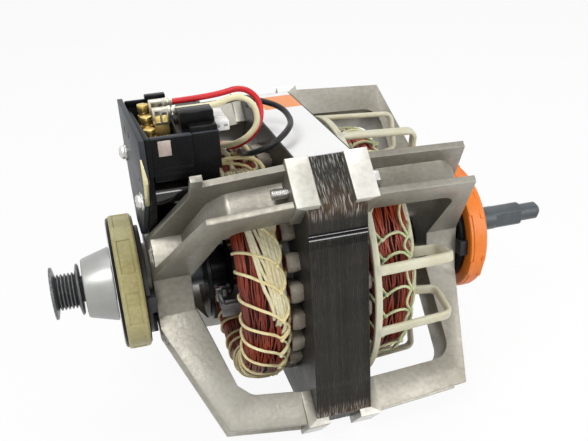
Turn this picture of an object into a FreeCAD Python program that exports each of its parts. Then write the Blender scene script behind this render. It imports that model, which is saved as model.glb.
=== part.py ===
import FreeCAD, Part
import math
import os

# Dryer motor with pulley, sizes in millimetres.
# The shaft lies along X with its threaded end at +X, Z points up and the side with the
# governor window and the start switch's front wall faces -Y.
# The origin is on the shaft axis at the middle of the front mounting ring.

V = FreeCAD.Vector
AXIS = V(1, 0, 0)

# Stator core, a square stack of laminations with its four corners cut at 45 degrees
stack_middle = 87.7
stack_length = 26.7
stack_half_width = 70.0
stack_half_flat = 53.2
slot_count = 24
bore_radius = 41.0
slot_mouth_half = 1.3
slot_mouth_depth = 2.6
slot_inner_half = 2.9
slot_outer_half = 4.7
slot_depth = 14.4
weld_groove_depth = 1.2
weld_groove_half = 1.6
weld_groove_height = 36.5

# Stator winding, coil sides in the slots and one wound head past each end
liner_thickness = 0.5
liner_gap = 0.05
liner_lip = 0.4
cuff_length = 6.0
coil_side_gap = 0.3
head_length = 22.6
head_bore_gap = 1.6
head_overhang = 1.6
head_facets = 14
head_section_sides = 8
wire_diameter = 2.0
wire_turns = 8
wire_lift = 0.3
wire_start_angle = -18.0
wire_end_angle = 165.0

# Nylon winding guard round the rear coil head
guard_ring_outset = 0.2
guard_ring_gap = 4.2
guard_ring_width = 3.4
guard_strip = 2.5
guard_hoop_width = 5.6
guard_hoop_angle = 14.0
guard_tip_reach = 45.5
guard_tip_outer = 59.0
guard_tip_inner = 45.5
guard_inner_ring_radius = 43.6
guard_head_gap = 1.6
guard_foot_width = 6.0
guard_root = 0.4

# End shields, a hub with four channel arms at 45 degrees
arm_half_width = 10.0
arm_wall = 3.0
arm_foot_gap = 3.2
ear_half_width = 11.5
ear_lap = 5.6
ear_length = 4.9
ear_rise = 3.7
hub_half = 24.0
hub_corner = 30.0
neck_radius = 17.5
front_hub_gap = 4.9
front_hub_length = 17.9
front_shoulder_step = 4.5
front_shoulder_drop = 2.9
front_arm_end_rise = 2.2
front_window_corner_step = 18.5
front_window_drop = 0.2
front_window_fillet = 7.0
front_window_knee_step = 12.3
front_window_knee_drop = 6.0
front_floor_offset = 4.0
front_floor_fillet = 5.0
front_floor_setback = 3.0
lug_step = 0.9
lug_length = 5.2
lug_base_rise = 2.0
lug_top_rise = 3.4
rear_arm_reach = 48.35
rear_hub_length = 16.2
rear_hub_rake = 1.6
rear_shoulder_step = 3.0
rear_shoulder_drop = 1.7
rear_arm_end_rise = 1.9
rear_window_rise = 1.0
rear_window_fillet = 9.0
rear_floor_offset = 3.4
cone_length = 13.2
cone_step = 2.5
cone_small_radius = 14.4
cone_large_radius = 18.2
rear_neck_lip = 2.2

# Mounting rings and their metal parts
ring_radius = 33.5
ring_width = 11.4
ring_cup_radius = 31.0
ring_cup_thickness = 1.3
rear_ring_gap = 4.4
rear_ring_width = 10.8
rear_ring_bevel = 2.6
retainer_thickness = 2.6
retainer_radius = 27.0
clip_inner_radius = 19.5
clip_outer_radius = 29.5
clip_half_width = 4.0
front_clip_angles = (90, 180, 270)
rear_clip_angles = (0, 90, 180, 270)

# Shaft, bearings and pulley
shaft_radius = 6.35
journal_radius = 6.6
journal_gap = 0.8
rotor_seat_radius = 7.9
shaft_front_overhang = 0.5
end_play = 0.3
shaft_seat_length = 15.6
shaft_tail_radius = 4.7
shaft_tail_length = 12.6
shaft_tip_bevel = 2.0
shaft_plain_length = 15.2
shaft_seat_radius = 6.15
shaft_flat_depth = 1.3
bearing_radius = 10.0
bearing_length = 24.0
front_bearing_inset = 8.4
rear_bearing_inset = 3.6
running_clearance = 0.04
pulley_length = 13.9
pulley_gap = 1.6
pulley_flange_radius = 12.95
pulley_flange_rim = 1.2
pulley_rib_radius = 9.0
pulley_valley_radius = 7.4
pulley_ribs = 5
pulley_rib_pitch = 1.75
pulley_facet_count = 28

# Flats on round pieces that nothing turns in
round_facet_count = 32

# Squirrel-cage rotor
air_gap = 0.35
end_ring_length = 7.0
end_ring_radius = 38.6

# Centrifugal governor on the shaft
governor_travel = 4.0
side_clearance = 0.3
collar_gap = 7.5
collar_disc_radius = 26.0
collar_disc_thickness = 2.6
collar_sleeve_radius = 11.0
collar_flange_radius = 15.5
collar_flange_thickness = 2.2
collar_clearance = 0.06
weight_pivot_step = 10.5
weight_pivot_z = 22.0
weight_half_width = 7.6
weight_toe_length = 9.0
weight_toe_half = 3.2
weight_toe_thickness = 2.0
weight_mass_reach = 8.0
weight_mass_inner = 5.0
weight_mass_outer = 3.0
weight_boss = 2.4
pivot_pin_radius = 1.25
pivot_clearance = 0.05
governor_plate_gap = 2.5
governor_plate_thickness = 2.0
governor_plate_reach = 25.5
governor_ear_thickness = 1.5
governor_ear_inner = 18.5
governor_ear_lead = 3.0

# Start switch's lever
lever_pivot_step = 4.6
lever_pivot_z = 38.0
lever_half_width = 6.4
lever_half_thickness = 1.9
lever_top = 44.5
lever_pin_radius = 1.5
lever_joggle_top = 6.0
lever_joggle_end = 10.0
lever_nub_z = 22.0
lever_nub_half = 1.0
lever_nub_height = 1.2
lever_tail_thickness = 2.4

# Start switch on the front shield
switch_left = 12.6
switch_right = 45.5
switch_front = -44.0
switch_back = 9.0
switch_floor = 68.0
switch_top = 84.5
switch_wall = 2.2
switch_pocket_right = 28.8
switch_pocket_floor = 71.0
tier_left = 31.0
tier_front = -36.0
tier_back = -26.5
tier_top = 88.0
switch_bracket_end = 16.6
switch_foot_end = 26.4
switch_foot_half = 9.2
switch_foot_front = -39.6
switch_foot_shoulder = 55.2
switch_lug_half = 10.0
switch_lug_gap = 1.5
plate_thickness = 2.4
plate_lean = 3.6
plate_margin = 1.0
plate_top_back = 88.6
plate_front_low = 66.0
plate_knee_y = -37.0
plate_knee_z = 55.0
plate_toe_y = -12.0
plate_toe_z = 29.0
plate_lower_end = 26.0
plate_toe_half = 4.0
plate_heel_z = 30.0
plate_bend_y = 8.0
plate_bend_z = 48.0
plate_back_low = 70.0
boss_y = -30.5
boss_z = 55.6
boss_radius = 5.0
boss_end = 32.5
strap_thickness = 0.6
strap_width = 2.0
strap_inset = 0.3
strap_tip = 0.6
strap_taper = 9.0
strap_gap = 0.2
strap_top = 77.0
strap_low = 52.0
post_reach = 3.0
post_height = 13.0
post_x = 18.5
post_rows = (-4.0, -15.0, -26.0)
tab_x = 24.0
tab_thickness = 1.0
tab_half_width = 3.2
tab_height = 17.0
tab_rows = (-8.0, -22.0, -34.0)
wired_rows = (-8.0, -22.0)
crimp_wall = 0.6
crimp_clearance = 0.02
crimp_bottom = 9.0
crimp_top = 20.0
barrel_half = 1.9
barrel_end = 31.5
connector_length = 7.0
connector_front = -31.0
connector_back = -11.0
connector_bottom = 79.8
connector_top = 84.2

# Through bolts
bolt_rise = 8.5
bolt_radius = 2.4
bolt_hole_clearance = 0.15
bolt_stud_length = 7.0
bolt_head_flats = 8.0
bolt_head_height = 4.2

# Paper label on the top face of the core
label_thickness = 0.3
label_margin = 0.9
label_half_length = 52.0

# Lead wires, their routes chosen by hand
lead_diameter = 2.7
lead_sides = 4
red_route = [(31.5, -8.0, 89.2), (38.5, -8.0, 89.2), (52.9, -8.5, 90.0), (62.8, -10.4, 92.6),
             (69.6, -13.0, 88.0), (70.5, -16.0, 79.7), (65.6, -19.0, 72.4), (60.0, -15.5, 67.6),
             (56.2, -4.0, 62.4), (53.8, 6.5, 61.6)]
white_route = [(31.5, -22.0, 89.2), (38.5, -22.0, 89.2), (49.5, -22.5, 89.4), (56.6, -22.6, 92.0),
               (62.9, -22.4, 90.2), (66.5, -22.0, 85.6), (66.9, -22.4, 77.9), (61.4, -21.2, 71.8),
               (55.2, -14.5, 67.2), (51.4, -3.0, 63.8), (50.2, 8.5, 61.6)]
black_route = [(45.5, 2.0, 82.9), (54.6, 2.0, 82.9), (64.2, 1.0, 85.0), (73.3, -3.0, 83.0),
               (81.0, -12.0, 81.2), (81.7, -26.0, 78.6), (76.4, -38.4, 78.3), (68.8, -42.0, 74.2),
               (61.8, -38.8, 70.8), (58.8, -31.0, 67.9), (59.6, -18.0, 63.9), (60.6, -5.0, 61.8)]

# Values worked out from the sizes above
stack_front = stack_middle - stack_length / 2
stack_rear = stack_middle + stack_length / 2
chamfer_radius = (stack_half_width + stack_half_flat) / math.sqrt(2)
ear_outer_radius = chamfer_radius + ear_rise
front_shoulder_radius = chamfer_radius - front_shoulder_drop
front_arm_end_radius = chamfer_radius + front_arm_end_rise
front_window_radius = stack_half_width - front_window_drop
front_window_knee_radius = stack_half_width - front_window_knee_drop
lug_base_radius = stack_half_width + lug_base_rise
lug_top_radius = chamfer_radius + lug_top_rise
rear_shoulder_radius = chamfer_radius - rear_shoulder_drop
rear_arm_end_radius = chamfer_radius + rear_arm_end_rise
rear_window_radius = stack_half_width + rear_window_rise
slot_inner_radius = bore_radius + slot_mouth_depth
slot_outer_radius = slot_inner_radius + slot_depth
head_inner_radius = bore_radius + head_bore_gap
head_outer_radius = slot_outer_radius + head_overhang
head_middle_radius = (head_inner_radius + head_outer_radius) / 2
head_half_radial = (head_outer_radius - head_inner_radius) / 2
head_half_axial = head_length / 2
rotor_radius = bore_radius - air_gap
ring_half_width = ring_width / 2
front_hub_start = ring_half_width + front_hub_gap
front_hub_end = front_hub_start + front_hub_length
front_shoulder_x = front_hub_end + front_shoulder_step
front_window_corner_x = front_hub_end + front_window_corner_step
front_window_knee_x = front_hub_end + front_window_knee_step
lug_start = front_hub_end + lug_step
lug_end = lug_start + lug_length
cone_end = -ring_half_width - cone_step
cone_start = cone_end - cone_length
front_bearing_start = cone_start + front_bearing_inset
pulley_end = cone_start - pulley_gap
pulley_start = pulley_end - pulley_length
shaft_front_end = pulley_start - shaft_front_overhang
rear_hub_start = stack_rear + rear_arm_reach
rear_hub_end = rear_hub_start + rear_hub_length
rear_shoulder_x = rear_hub_start + rear_shoulder_step
rear_ring_start = rear_hub_end + rear_ring_gap
rear_ring_end = rear_ring_start + rear_ring_width
rear_neck_end = rear_ring_end + rear_neck_lip
rear_bearing_start = rear_hub_start + rear_bearing_inset
shaft_flat_start = rear_neck_end + journal_gap + shaft_plain_length
shaft_tail_start = shaft_flat_start + shaft_seat_length
shaft_tip = shaft_tail_start + shaft_tail_length
collar_start = front_hub_end + collar_gap
weight_pivot_x = collar_start + weight_pivot_step
lever_pivot_x = collar_start - lever_pivot_step
collar_flange_start = weight_pivot_x + weight_toe_thickness / 2 + side_clearance
governor_plate_start = weight_pivot_x + weight_mass_reach + governor_plate_gap
governor_ear_near = weight_half_width + side_clearance
governor_ear_far = governor_ear_near + governor_ear_thickness
window_foot_radius = stack_half_width + arm_foot_gap
bolt_circle_radius = window_foot_radius + bolt_rise
guard_ring_radius = (head_outer_radius + window_foot_radius) / 2 + guard_ring_outset
neck_seat_radius = neck_radius / math.cos(math.pi / round_facet_count)
far_out = 120.0


def rod(start, end, radius):
    """Cylinder along the shaft axis."""
    return Part.makeCylinder(radius, end - start, V(start, 0, 0), AXIS)


def ring(start, end, outer, inner):
    """Plain ring round the shaft axis."""
    return rod(start, end, outer).cut(rod(start - 1, end + 1, inner))


def block(x0, x1, y0, y1, z0, z1):
    """Box between two corners, given in either order."""
    return Part.makeBox(abs(x1 - x0), abs(y1 - y0), abs(z1 - z0), V(min(x0, x1), min(y0, y1), min(z0, z1)))


def cross_pin(x, z, radius, half_length):
    """Cylinder along Y, centred on Y = 0."""
    return Part.makeCylinder(radius, 2 * half_length, V(x, -half_length, z), V(0, 1, 0))


def face_of(points):
    """Flat face with straight sides through the given points."""
    return Part.Face(Part.makePolygon(points + [points[0]]))


def turned(profile):
    """Solid of revolution about the shaft axis from (x, radius) points."""
    return face_of([V(x, 0, r) for x, r in profile]).revolve(V(0, 0, 0), AXIS, 360)


def plate_x(outline, start, thickness):
    """Plate square to the shaft from (y, z) points."""
    return face_of([V(start, y, z) for y, z in outline]).extrude(V(thickness, 0, 0))


def plate_z(outline, low, high):
    """Upright prism from (x, y) points."""
    return face_of([V(x, y, low) for x, y in outline]).extrude(V(0, 0, high - low))


def rounded_wire(corners):
    """Closed wire in the XZ plane through (x, z, corner radius) points."""
    spans = []
    for i, (x, z, radius) in enumerate(corners):
        here = V(x, 0, z)
        following = corners[(i + 1) % len(corners)]
        before = (V(corners[i - 1][0], 0, corners[i - 1][1]) - here).normalize()
        after = (V(following[0], 0, following[1]) - here).normalize()
        if radius == 0:
            spans.append((here, here, None))
            continue
        half = before.getAngle(after) / 2
        middle = (before + after).normalize()
        centre = here + middle * (radius / math.sin(half))
        first = here + before * (radius / math.tan(half))
        last = here + after * (radius / math.tan(half))
        spans.append((first, last, Part.Arc(first, centre - middle * radius, last).toShape()))
    edges = []
    for i, (first, last, arc) in enumerate(spans):
        if arc:
            edges.append(arc)
        edges.append(Part.LineSegment(last, spans[(i + 1) % len(spans)][0]).toShape())
    return Part.Wire(Part.__sortEdges__(edges))


def slab(corners, half_width):
    """Rounded XZ outline made 2 * half_width thick about Y = 0."""
    solid = Part.Face(rounded_wire(corners)).extrude(V(0, 2 * half_width, 0))
    solid.translate(V(0, -half_width, 0))
    return solid


def turn(shape, angle):
    """Copy turned about the shaft axis; +Z moves towards -Y."""
    copy = shape.copy()
    copy.rotate(V(0, 0, 0), AXIS, angle)
    return copy


def four_corners(shape):
    """The shape at each of the four 45-degree corners."""
    return [turn(shape, 45 + 90 * i) for i in range(4)]


def save(name, *solids):
    """Write one node; several solids stay separate pieces."""
    shape = solids[0] if len(solids) == 1 else Part.makeCompound(list(solids))
    shape.exportStep("parts/" + name + ".step")


def round_the_shaft(x, radius, angle):
    """Point at an angle from +Z towards -Y."""
    return V(x, -radius * math.sin(angle), radius * math.cos(angle))


def flat_sided_loft(loops):
    """Solid through closed loops of corner points, with flat sides between them."""
    return Part.makeLoft([Part.makePolygon(loop + [loop[0]]) for loop in loops], True, True)


def straight_run_tube(points, corners):
    """Tube of straight mitred runs; corners are the section's offsets from its path."""
    run = (points[1] - points[0]).normalize()
    side = run.cross(AXIS).normalize()
    up = run.cross(side)
    section = [points[0] + side * a + up * b for a, b in corners]
    loops = [section]
    for i in range(1, len(points)):
        here = points[i]
        run = (here - points[i - 1]).normalize()
        last = i == len(points) - 1
        following = run if last else (points[i + 1] - here).normalize()
        cut = (run + following).normalize()
        section = [p + run * ((here - p).dot(cut) / run.dot(cut)) for p in section]
        loops.append(section)
    return flat_sided_loft(loops)


def flat_sided_turning(profile, flats):
    """Ring about the shaft axis from a closed (x, radius) profile, with flats instead of a full round."""
    step = 2 * math.pi / flats
    columns = [[round_the_shaft(x, r, step * (i + 0.5)) for i in range(flats)] for x, r in profile]
    faces = []
    for near, far in zip(columns, columns[1:] + columns[:1]):
        for i in range(flats):
            faces.append(face_of([near[i - 1], near[i], far[i], far[i - 1]]))
    solid = Part.makeSolid(Part.makeShell(faces))
    return solid if solid.Volume > 0 else solid.reversed()


def polygon_section(radius, sides):
    """Corner offsets of a polygon with the area of a circle."""
    reach = radius * math.sqrt(2 * math.pi / (sides * math.sin(2 * math.pi / sides)))
    turns = [2 * math.pi * (i + 0.5) / sides for i in range(sides)]
    return [(reach * math.cos(t), reach * math.sin(t)) for t in turns]


# Stator core
def slot_outline():
    """Half-open slot with a narrow mouth in the (tangential, radial) plane."""
    return [(-slot_mouth_half, bore_radius - 1), (-slot_inner_half, slot_inner_radius),
            (-slot_outer_half, slot_outer_radius), (slot_outer_half, slot_outer_radius),
            (slot_inner_half, slot_inner_radius), (slot_mouth_half, bore_radius - 1)]


def slot_half_width(radius):
    """Half of the slot's width at a radius."""
    slope = (slot_outer_half - slot_inner_half) / (slot_outer_radius - slot_inner_radius)
    return slot_inner_half + slope * (radius - slot_inner_radius)


def in_each_slot(shape):
    return [turn(shape, 360.0 * (i + 0.5) / slot_count) for i in range(slot_count)]


def bolt_hole(start, end):
    """Clearance hole for a through bolt at +Z."""
    return Part.makeCylinder(bolt_radius + bolt_hole_clearance, end - start,
                             V(start, 0, bolt_circle_radius), AXIS)


def stator_core():
    w = stack_half_width
    f = stack_half_flat
    outline = [(-f, w), (f, w), (w, f), (w, -f), (f, -w), (-f, -w), (-w, -f), (-w, f)]
    core = plate_x(outline, stack_front, stack_length)
    start = stack_front - 1
    end = stack_rear + 1
    groove = block(start, end, -w - 1, -w + weld_groove_depth, weld_groove_height - weld_groove_half,
                   weld_groove_height + weld_groove_half)
    tools = [rod(start, end, bore_radius)]
    tools += in_each_slot(plate_x(slot_outline(), start, end - start))
    tools += four_corners(bolt_hole(start, end))
    tools += [turn(groove, 90 * i) for i in range(4)]
    return core.cut(tools)


# Slot liners and coil sides
def slot_liners():
    """Channels that line the slots and stand out as cuffs at both ends."""
    low = slot_inner_radius + liner_lip
    high = slot_outer_radius - liner_gap
    inside = high - liner_thickness
    wall = liner_gap + liner_thickness
    outer_low = slot_half_width(low) - liner_gap
    outer_high = slot_half_width(high) - liner_gap
    inner_low = slot_half_width(low) - wall
    inner_high = slot_half_width(inside) - wall
    outline = [(-outer_low, low), (-outer_high, high), (outer_high, high), (outer_low, low),
               (inner_low, low), (inner_high, inside), (-inner_high, inside), (-inner_low, low)]
    return in_each_slot(plate_x(outline, stack_front - cuff_length, stack_length + 2 * cuff_length))


def coil_sides():
    """Bundles of wire inside the liners."""
    inset = liner_gap + liner_thickness + coil_side_gap
    low = slot_inner_radius + liner_lip + coil_side_gap
    high = slot_outer_radius - inset
    half_low = slot_half_width(low) - inset
    half_high = slot_half_width(high) - inset
    outline = [(-half_low, low), (-half_high, high), (half_high, high), (half_low, low)]
    return in_each_slot(plate_x(outline, stack_front - cuff_length, stack_length + 2 * cuff_length))


# Coil heads
def coil_head(face, outward):
    """Plain core of a head and, over it, the outer layer of turns as one unbroken wire."""
    step = 2 * math.pi / head_facets
    middle = face + outward * (cuff_length + head_half_axial)
    bed = wire_diameter + wire_lift
    profile = []
    for j in range(head_section_sides):
        t = 2 * math.pi * (j + 0.5) / head_section_sides
        reach = (head_half_axial - (bed if math.sin(t) > 0 else 0)) * math.sin(t)
        profile.append((middle + outward * reach,
                        head_middle_radius + (head_half_radial - bed) * math.cos(t)))
    points = []
    total = wire_turns * head_facets
    for i in range(total + 1):
        t = math.radians(wire_start_angle + (wire_end_angle - wire_start_angle) * i / total)
        radius = head_middle_radius + (head_half_radial - wire_diameter / 2) * math.cos(t)
        reach = (head_half_axial - wire_diameter / 2) * math.sin(t)
        points.append(round_the_shaft(middle + outward * reach, radius, step * (i + 0.5)))
    print("coil head least gap between turns", round(least_gap(points), 2))
    wire = straight_run_tube(points, polygon_section(wire_diameter / 2, 4))
    return [flat_sided_turning(profile, head_facets), wire]


def least_gap(points):
    """Least clear distance between neighbouring turns, measured on the path's points."""
    nearest = min(points[i].distanceToPoint(points[i + head_facets])
                  for i in range(len(points) - head_facets))
    return nearest - wire_diameter * math.sqrt(math.pi / 2)


# Winding guard
def guard_hoop(ring_x, back):
    """Bent strip from the outer ring over the coil head and down to the inner ring."""
    tip = stack_rear + guard_tip_reach
    t = guard_strip
    outer = guard_ring_radius
    inner = guard_inner_ring_radius
    corners = [(ring_x, outer + t / 2, 0), (tip, guard_tip_outer + t / 2, 0),
               (tip, guard_tip_inner - t / 2, 0), (back, inner - t / 2, 0), (back, inner + t / 2, 0),
               (tip - t, guard_tip_inner + t / 2, 0), (tip - t, guard_tip_outer - t / 2, 0),
               (ring_x, outer - t / 2, 0)]
    return slab(corners, guard_hoop_width / 2)


def winding_guard():
    start = stack_rear + guard_ring_gap
    back = stack_rear + cuff_length + head_length + guard_head_gap
    half = guard_strip / 2
    outer = guard_ring_radius
    inner = guard_inner_ring_radius
    guard = flat_ring(start, start + guard_ring_width, outer + half, outer - half)
    guard = guard.fuse(flat_ring(back, back + guard_ring_width, inner + half, inner - half))
    hoop = guard_hoop(start + guard_root, back)
    hoops = [turn(hoop, 90 * i + side * guard_hoop_angle) for i in range(4) for side in (-1, 1)]
    foot = block(stack_rear, start + guard_root, -guard_foot_width / 2, guard_foot_width / 2,
                 outer - half + guard_root, outer + half - guard_root)
    return guard.fuse(hoops + four_corners(foot)).removeSplitter()


# End shields
def channel_arm(outer, inner, floor, stack_face, outward):
    """Arm at +Z with side walls, a channel open away from the shaft and an ear on the core."""
    arm = slab(inner + outer, arm_half_width)
    cavity = slab(floor, arm_half_width - arm_wall)
    ear = block(stack_face, stack_face + outward * ear_length, -ear_half_width, ear_half_width,
                window_foot_radius, ear_outer_radius)
    lap = block(stack_face, stack_face - outward * ear_lap, -ear_half_width, ear_half_width,
                chamfer_radius, ear_outer_radius)
    reach = ear_length + ear_lap
    return arm.cut(cavity).fuse([ear, lap]).cut(bolt_hole(stack_face - reach, stack_face + reach))


def front_shield():
    channel_end = stack_front - ear_length
    knee = front_window_knee_radius
    d = front_floor_offset
    inner = [(stack_front, window_foot_radius, 0),
             (front_window_corner_x, front_window_radius, front_window_fillet),
             (front_window_knee_x, knee, 0), (front_hub_end, hub_half - d, 0)]
    outer = [(front_hub_start, hub_half - d, 0), (front_hub_start, hub_corner, 0),
             (front_shoulder_x, front_shoulder_radius, 0), (stack_front, front_arm_end_radius, 0)]
    floor = [(channel_end, window_foot_radius + d, 0), (front_window_corner_x - front_floor_setback, front_window_radius + d, front_floor_fillet),
             (front_window_knee_x - d, knee + d / 2, 0), (front_hub_end - d / 2, hub_corner + d, 0),
             (0, hub_corner + d, 0), (0, far_out, 0), (channel_end, far_out, 0)]
    arm = channel_arm(outer, inner, floor, stack_front, -1)
    lug = block(lug_start, lug_end, arm_half_width - arm_wall, arm_half_width, lug_base_radius,
                lug_top_radius)
    hub = block(front_hub_start, front_hub_end, -hub_half, hub_half, -hub_half, hub_half)
    neck = rod(cone_end, front_hub_start, neck_radius)
    cone = Part.makeCone(cone_small_radius, cone_large_radius, cone_end - cone_start,
                         V(cone_start, 0, 0), AXIS)
    shield = hub.fuse(four_corners(arm) + [neck, cone, turn(lug, 45)])
    return shield.cut(rod(cone_start - 1, front_hub_end + 1, bearing_radius)).removeSplitter()


def rear_shield():
    channel_end = stack_rear + ear_length
    d = rear_floor_offset
    inner = [(stack_rear, window_foot_radius, 0),
             (rear_hub_start - 1, rear_window_radius, rear_window_fillet),
             (rear_hub_start, hub_half - d, 0)]
    outer = [(rear_hub_end, hub_half - d, 0), (rear_hub_end - rear_hub_rake, hub_corner, 0),
             (rear_shoulder_x, rear_shoulder_radius, 0), (stack_rear, rear_arm_end_radius, 0)]
    floor = [(channel_end, window_foot_radius + d, 0),
             (rear_hub_start + d, rear_window_radius + d, rear_window_fillet + d),
             (rear_hub_start + d + 1, hub_corner + d, 0), (rear_ring_end, hub_corner + d, 0),
             (rear_ring_end, far_out, 0), (channel_end, far_out, 0)]
    arm = channel_arm(outer, inner, floor, stack_rear, 1)
    hub = block(rear_hub_start, rear_hub_end, -hub_half, hub_half, -hub_half, hub_half)
    neck = rod(rear_hub_end, rear_neck_end, neck_radius)
    shield = hub.fuse(four_corners(arm) + [neck])
    return shield.cut(rod(rear_hub_start - 1, rear_neck_end + 1, bearing_radius)).removeSplitter()


# Mounting rings
def front_ring():
    return ring(-ring_half_width, ring_half_width, ring_radius, neck_radius)


def rear_ring():
    a = rear_ring_start
    z = rear_ring_end
    b = rear_ring_bevel
    return turned([(a, neck_radius), (a, ring_radius), (z - b, ring_radius), (z, ring_radius - b),
                   (z, neck_radius)])


def ring_cup():
    face = -ring_half_width
    return flat_ring(face - ring_cup_thickness, face, ring_cup_radius, neck_seat_radius)


def ring_retainer(ring_face, hub_face, clip_angles):
    """Plate behind a ring with clips that reach the hub."""
    outward = 1 if hub_face > ring_face else -1
    plate_end = ring_face + outward * retainer_thickness
    low = min(ring_face, plate_end)
    high = max(ring_face, plate_end)
    plate = flat_ring(low, high, retainer_radius, neck_seat_radius)
    clip = block(ring_face, hub_face, -clip_half_width, clip_half_width, clip_inner_radius,
                 clip_outer_radius)
    return plate.fuse([turn(clip, angle) for angle in clip_angles]).removeSplitter()


# Shaft, bearings and pulley
def shaft():
    front_shoulder = front_hub_end + end_play
    rear_shoulder = rear_hub_start - end_play
    front_journal = cone_start - journal_gap
    rear_journal = rear_neck_end + journal_gap
    profile = [(shaft_front_end, 0), (shaft_front_end, shaft_radius), (front_journal, shaft_radius),
               (front_journal, journal_radius), (front_shoulder, journal_radius),
               (front_shoulder, rotor_seat_radius), (rear_shoulder, rotor_seat_radius),
               (rear_shoulder, journal_radius), (rear_journal, journal_radius),
               (rear_journal, shaft_radius), (shaft_flat_start, shaft_radius),
               (shaft_flat_start, shaft_seat_radius), (shaft_tail_start, shaft_seat_radius),
               (shaft_tail_start, shaft_tail_radius), (shaft_tip - shaft_tip_bevel, shaft_tail_radius),
               (shaft_tip, shaft_tail_radius - shaft_tip_bevel), (shaft_tip, 0)]
    reach = shaft_radius + 1
    flat = block(shaft_flat_start, shaft_tail_start, -reach, shaft_flat_depth - shaft_radius, -reach, reach)
    return turned(profile).cut(flat)


def pulley():
    """Small belt pulley with V ribs between two flanges, pressed on the shaft."""
    left = (pulley_start + pulley_end - pulley_ribs * pulley_rib_pitch) / 2
    core = shaft_radius / 2
    profile = [(pulley_start, core), (pulley_start, pulley_flange_radius),
               (pulley_start + pulley_flange_rim, pulley_flange_radius), (left, pulley_valley_radius)]
    for i in range(pulley_ribs):
        profile.append((left + (i + 0.5) * pulley_rib_pitch, pulley_rib_radius))
        profile.append((left + (i + 1) * pulley_rib_pitch, pulley_valley_radius))
    profile += [(pulley_end - pulley_flange_rim, pulley_flange_radius), (pulley_end, pulley_flange_radius),
                (pulley_end, core)]
    return flat_sided_turning(profile, pulley_facet_count).cut(rod(pulley_start - 1, pulley_end + 1, shaft_radius))


def flat_ring(start, end, outer, inner):
    """Ring round the shaft axis with flats instead of a full round."""
    return flat_sided_turning([(start, inner), (start, outer), (end, outer), (end, inner)], round_facet_count)


def bearing(start):
    return ring(start, start + bearing_length, bearing_radius, journal_radius + running_clearance)


# Rotor
def rotor_core():
    """Laminated core with the cast end rings of its cage, with flats for its rounds."""
    front = stack_front - end_ring_length
    rear = stack_rear + end_ring_length
    core = rotor_seat_radius / 2
    body = flat_sided_turning([(front, core), (front, end_ring_radius), (stack_front, end_ring_radius),
                               (stack_front, rotor_radius), (stack_rear, rotor_radius),
                               (stack_rear, end_ring_radius), (rear, end_ring_radius), (rear, core)],
                              round_facet_count)
    return body.cut(rod(front - 1, rear + 1, rotor_seat_radius))


# Governor
def governor_base():
    """Plate pressed on the shaft, with a pair of ears and a riveted pin for each weight."""
    start = governor_plate_start
    half = governor_ear_far
    reach = governor_plate_reach
    base = block(start, start + governor_plate_thickness, -half, half, -reach, reach)
    base = base.cut(rod(start - 1, start + governor_plate_thickness + 1, rotor_seat_radius))
    ears = []
    for side in (-1, 1):
        for up in (-1, 1):
            ears.append(block(weight_pivot_x - governor_ear_lead, start, side * governor_ear_near,
                              side * governor_ear_far, up * governor_ear_inner, up * reach))
    pins = [cross_pin(weight_pivot_x, up * weight_pivot_z, pivot_pin_radius, half) for up in (-1, 1)]
    return base.fuse(ears + pins).removeSplitter()


def flyweight(up):
    """Weight with its toe towards the shaft, modelled at the top and turned for the bottom."""
    x = weight_pivot_x
    z = weight_pivot_z
    half_toe = weight_toe_thickness / 2
    toe_end = z - weight_toe_length
    boss = weight_boss
    outline = [(x - half_toe, toe_end, 0), (x + half_toe, toe_end, 0),
               (x + half_toe, z - weight_mass_inner, 0), (x + weight_mass_reach, z - weight_mass_inner, 0),
               (x + weight_mass_reach, z + weight_mass_outer, 0), (x - boss, z + weight_mass_outer, 0),
               (x - boss, z - boss, 0), (x - half_toe, z - boss, 0)]
    body = slab(outline, weight_half_width)
    beside = [block(x - boss - 1, x + half_toe + 0.01, side * weight_toe_half, side * (weight_half_width + 1),
                    toe_end - 1, z - weight_mass_inner) for side in (-1, 1)]
    body = body.cut(beside + [cross_pin(x, z, pivot_pin_radius + pivot_clearance, weight_half_width + 1)])
    return body if up > 0 else turn(body, 180)


def governor_collar():
    """Sliding sleeve with a front disc for the lever and a rear flange for the toes."""
    bore = rotor_seat_radius + collar_clearance
    disc_end = collar_start + collar_disc_thickness
    flange_end = collar_flange_start + collar_flange_thickness
    core = bore / 2
    body = flat_sided_turning([(collar_start, core), (collar_start, collar_disc_radius),
                               (disc_end, collar_disc_radius), (disc_end, collar_sleeve_radius),
                               (collar_flange_start, collar_sleeve_radius),
                               (collar_flange_start, collar_flange_radius), (flange_end, collar_flange_radius),
                               (flange_end, core)], round_facet_count)
    return body.cut(rod(collar_start - 1, flange_end + 1, bore))


# Start switch
def start_lever():
    x = lever_pivot_x
    z = lever_pivot_z
    half = lever_half_thickness
    face = collar_start - side_clearance
    front = face - lever_nub_height
    back = front - lever_tail_thickness
    nub_top = lever_nub_z + lever_nub_half
    nub_low = lever_nub_z - lever_nub_half
    outline = [(x - half, lever_top, 0), (x + half, lever_top, 0), (x + half, z - lever_joggle_top, 0),
               (front, z - lever_joggle_end, 0), (front, nub_top, 0), (face, nub_top, 0), (face, nub_low, 0),
               (back, nub_low, 0), (back, z - lever_joggle_end, 0), (x - half, z - lever_joggle_top, 0)]
    lever = slab(outline, lever_half_width)
    return lever.cut(cross_pin(x, z, lever_pin_radius + pivot_clearance, lever_half_width + 1))


def plate_edge(y):
    """X of the housing's left face, which leans a little to the front."""
    share = (switch_back - y) / (switch_back - switch_front)
    return switch_left + plate_lean * (share - 0.5)


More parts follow.
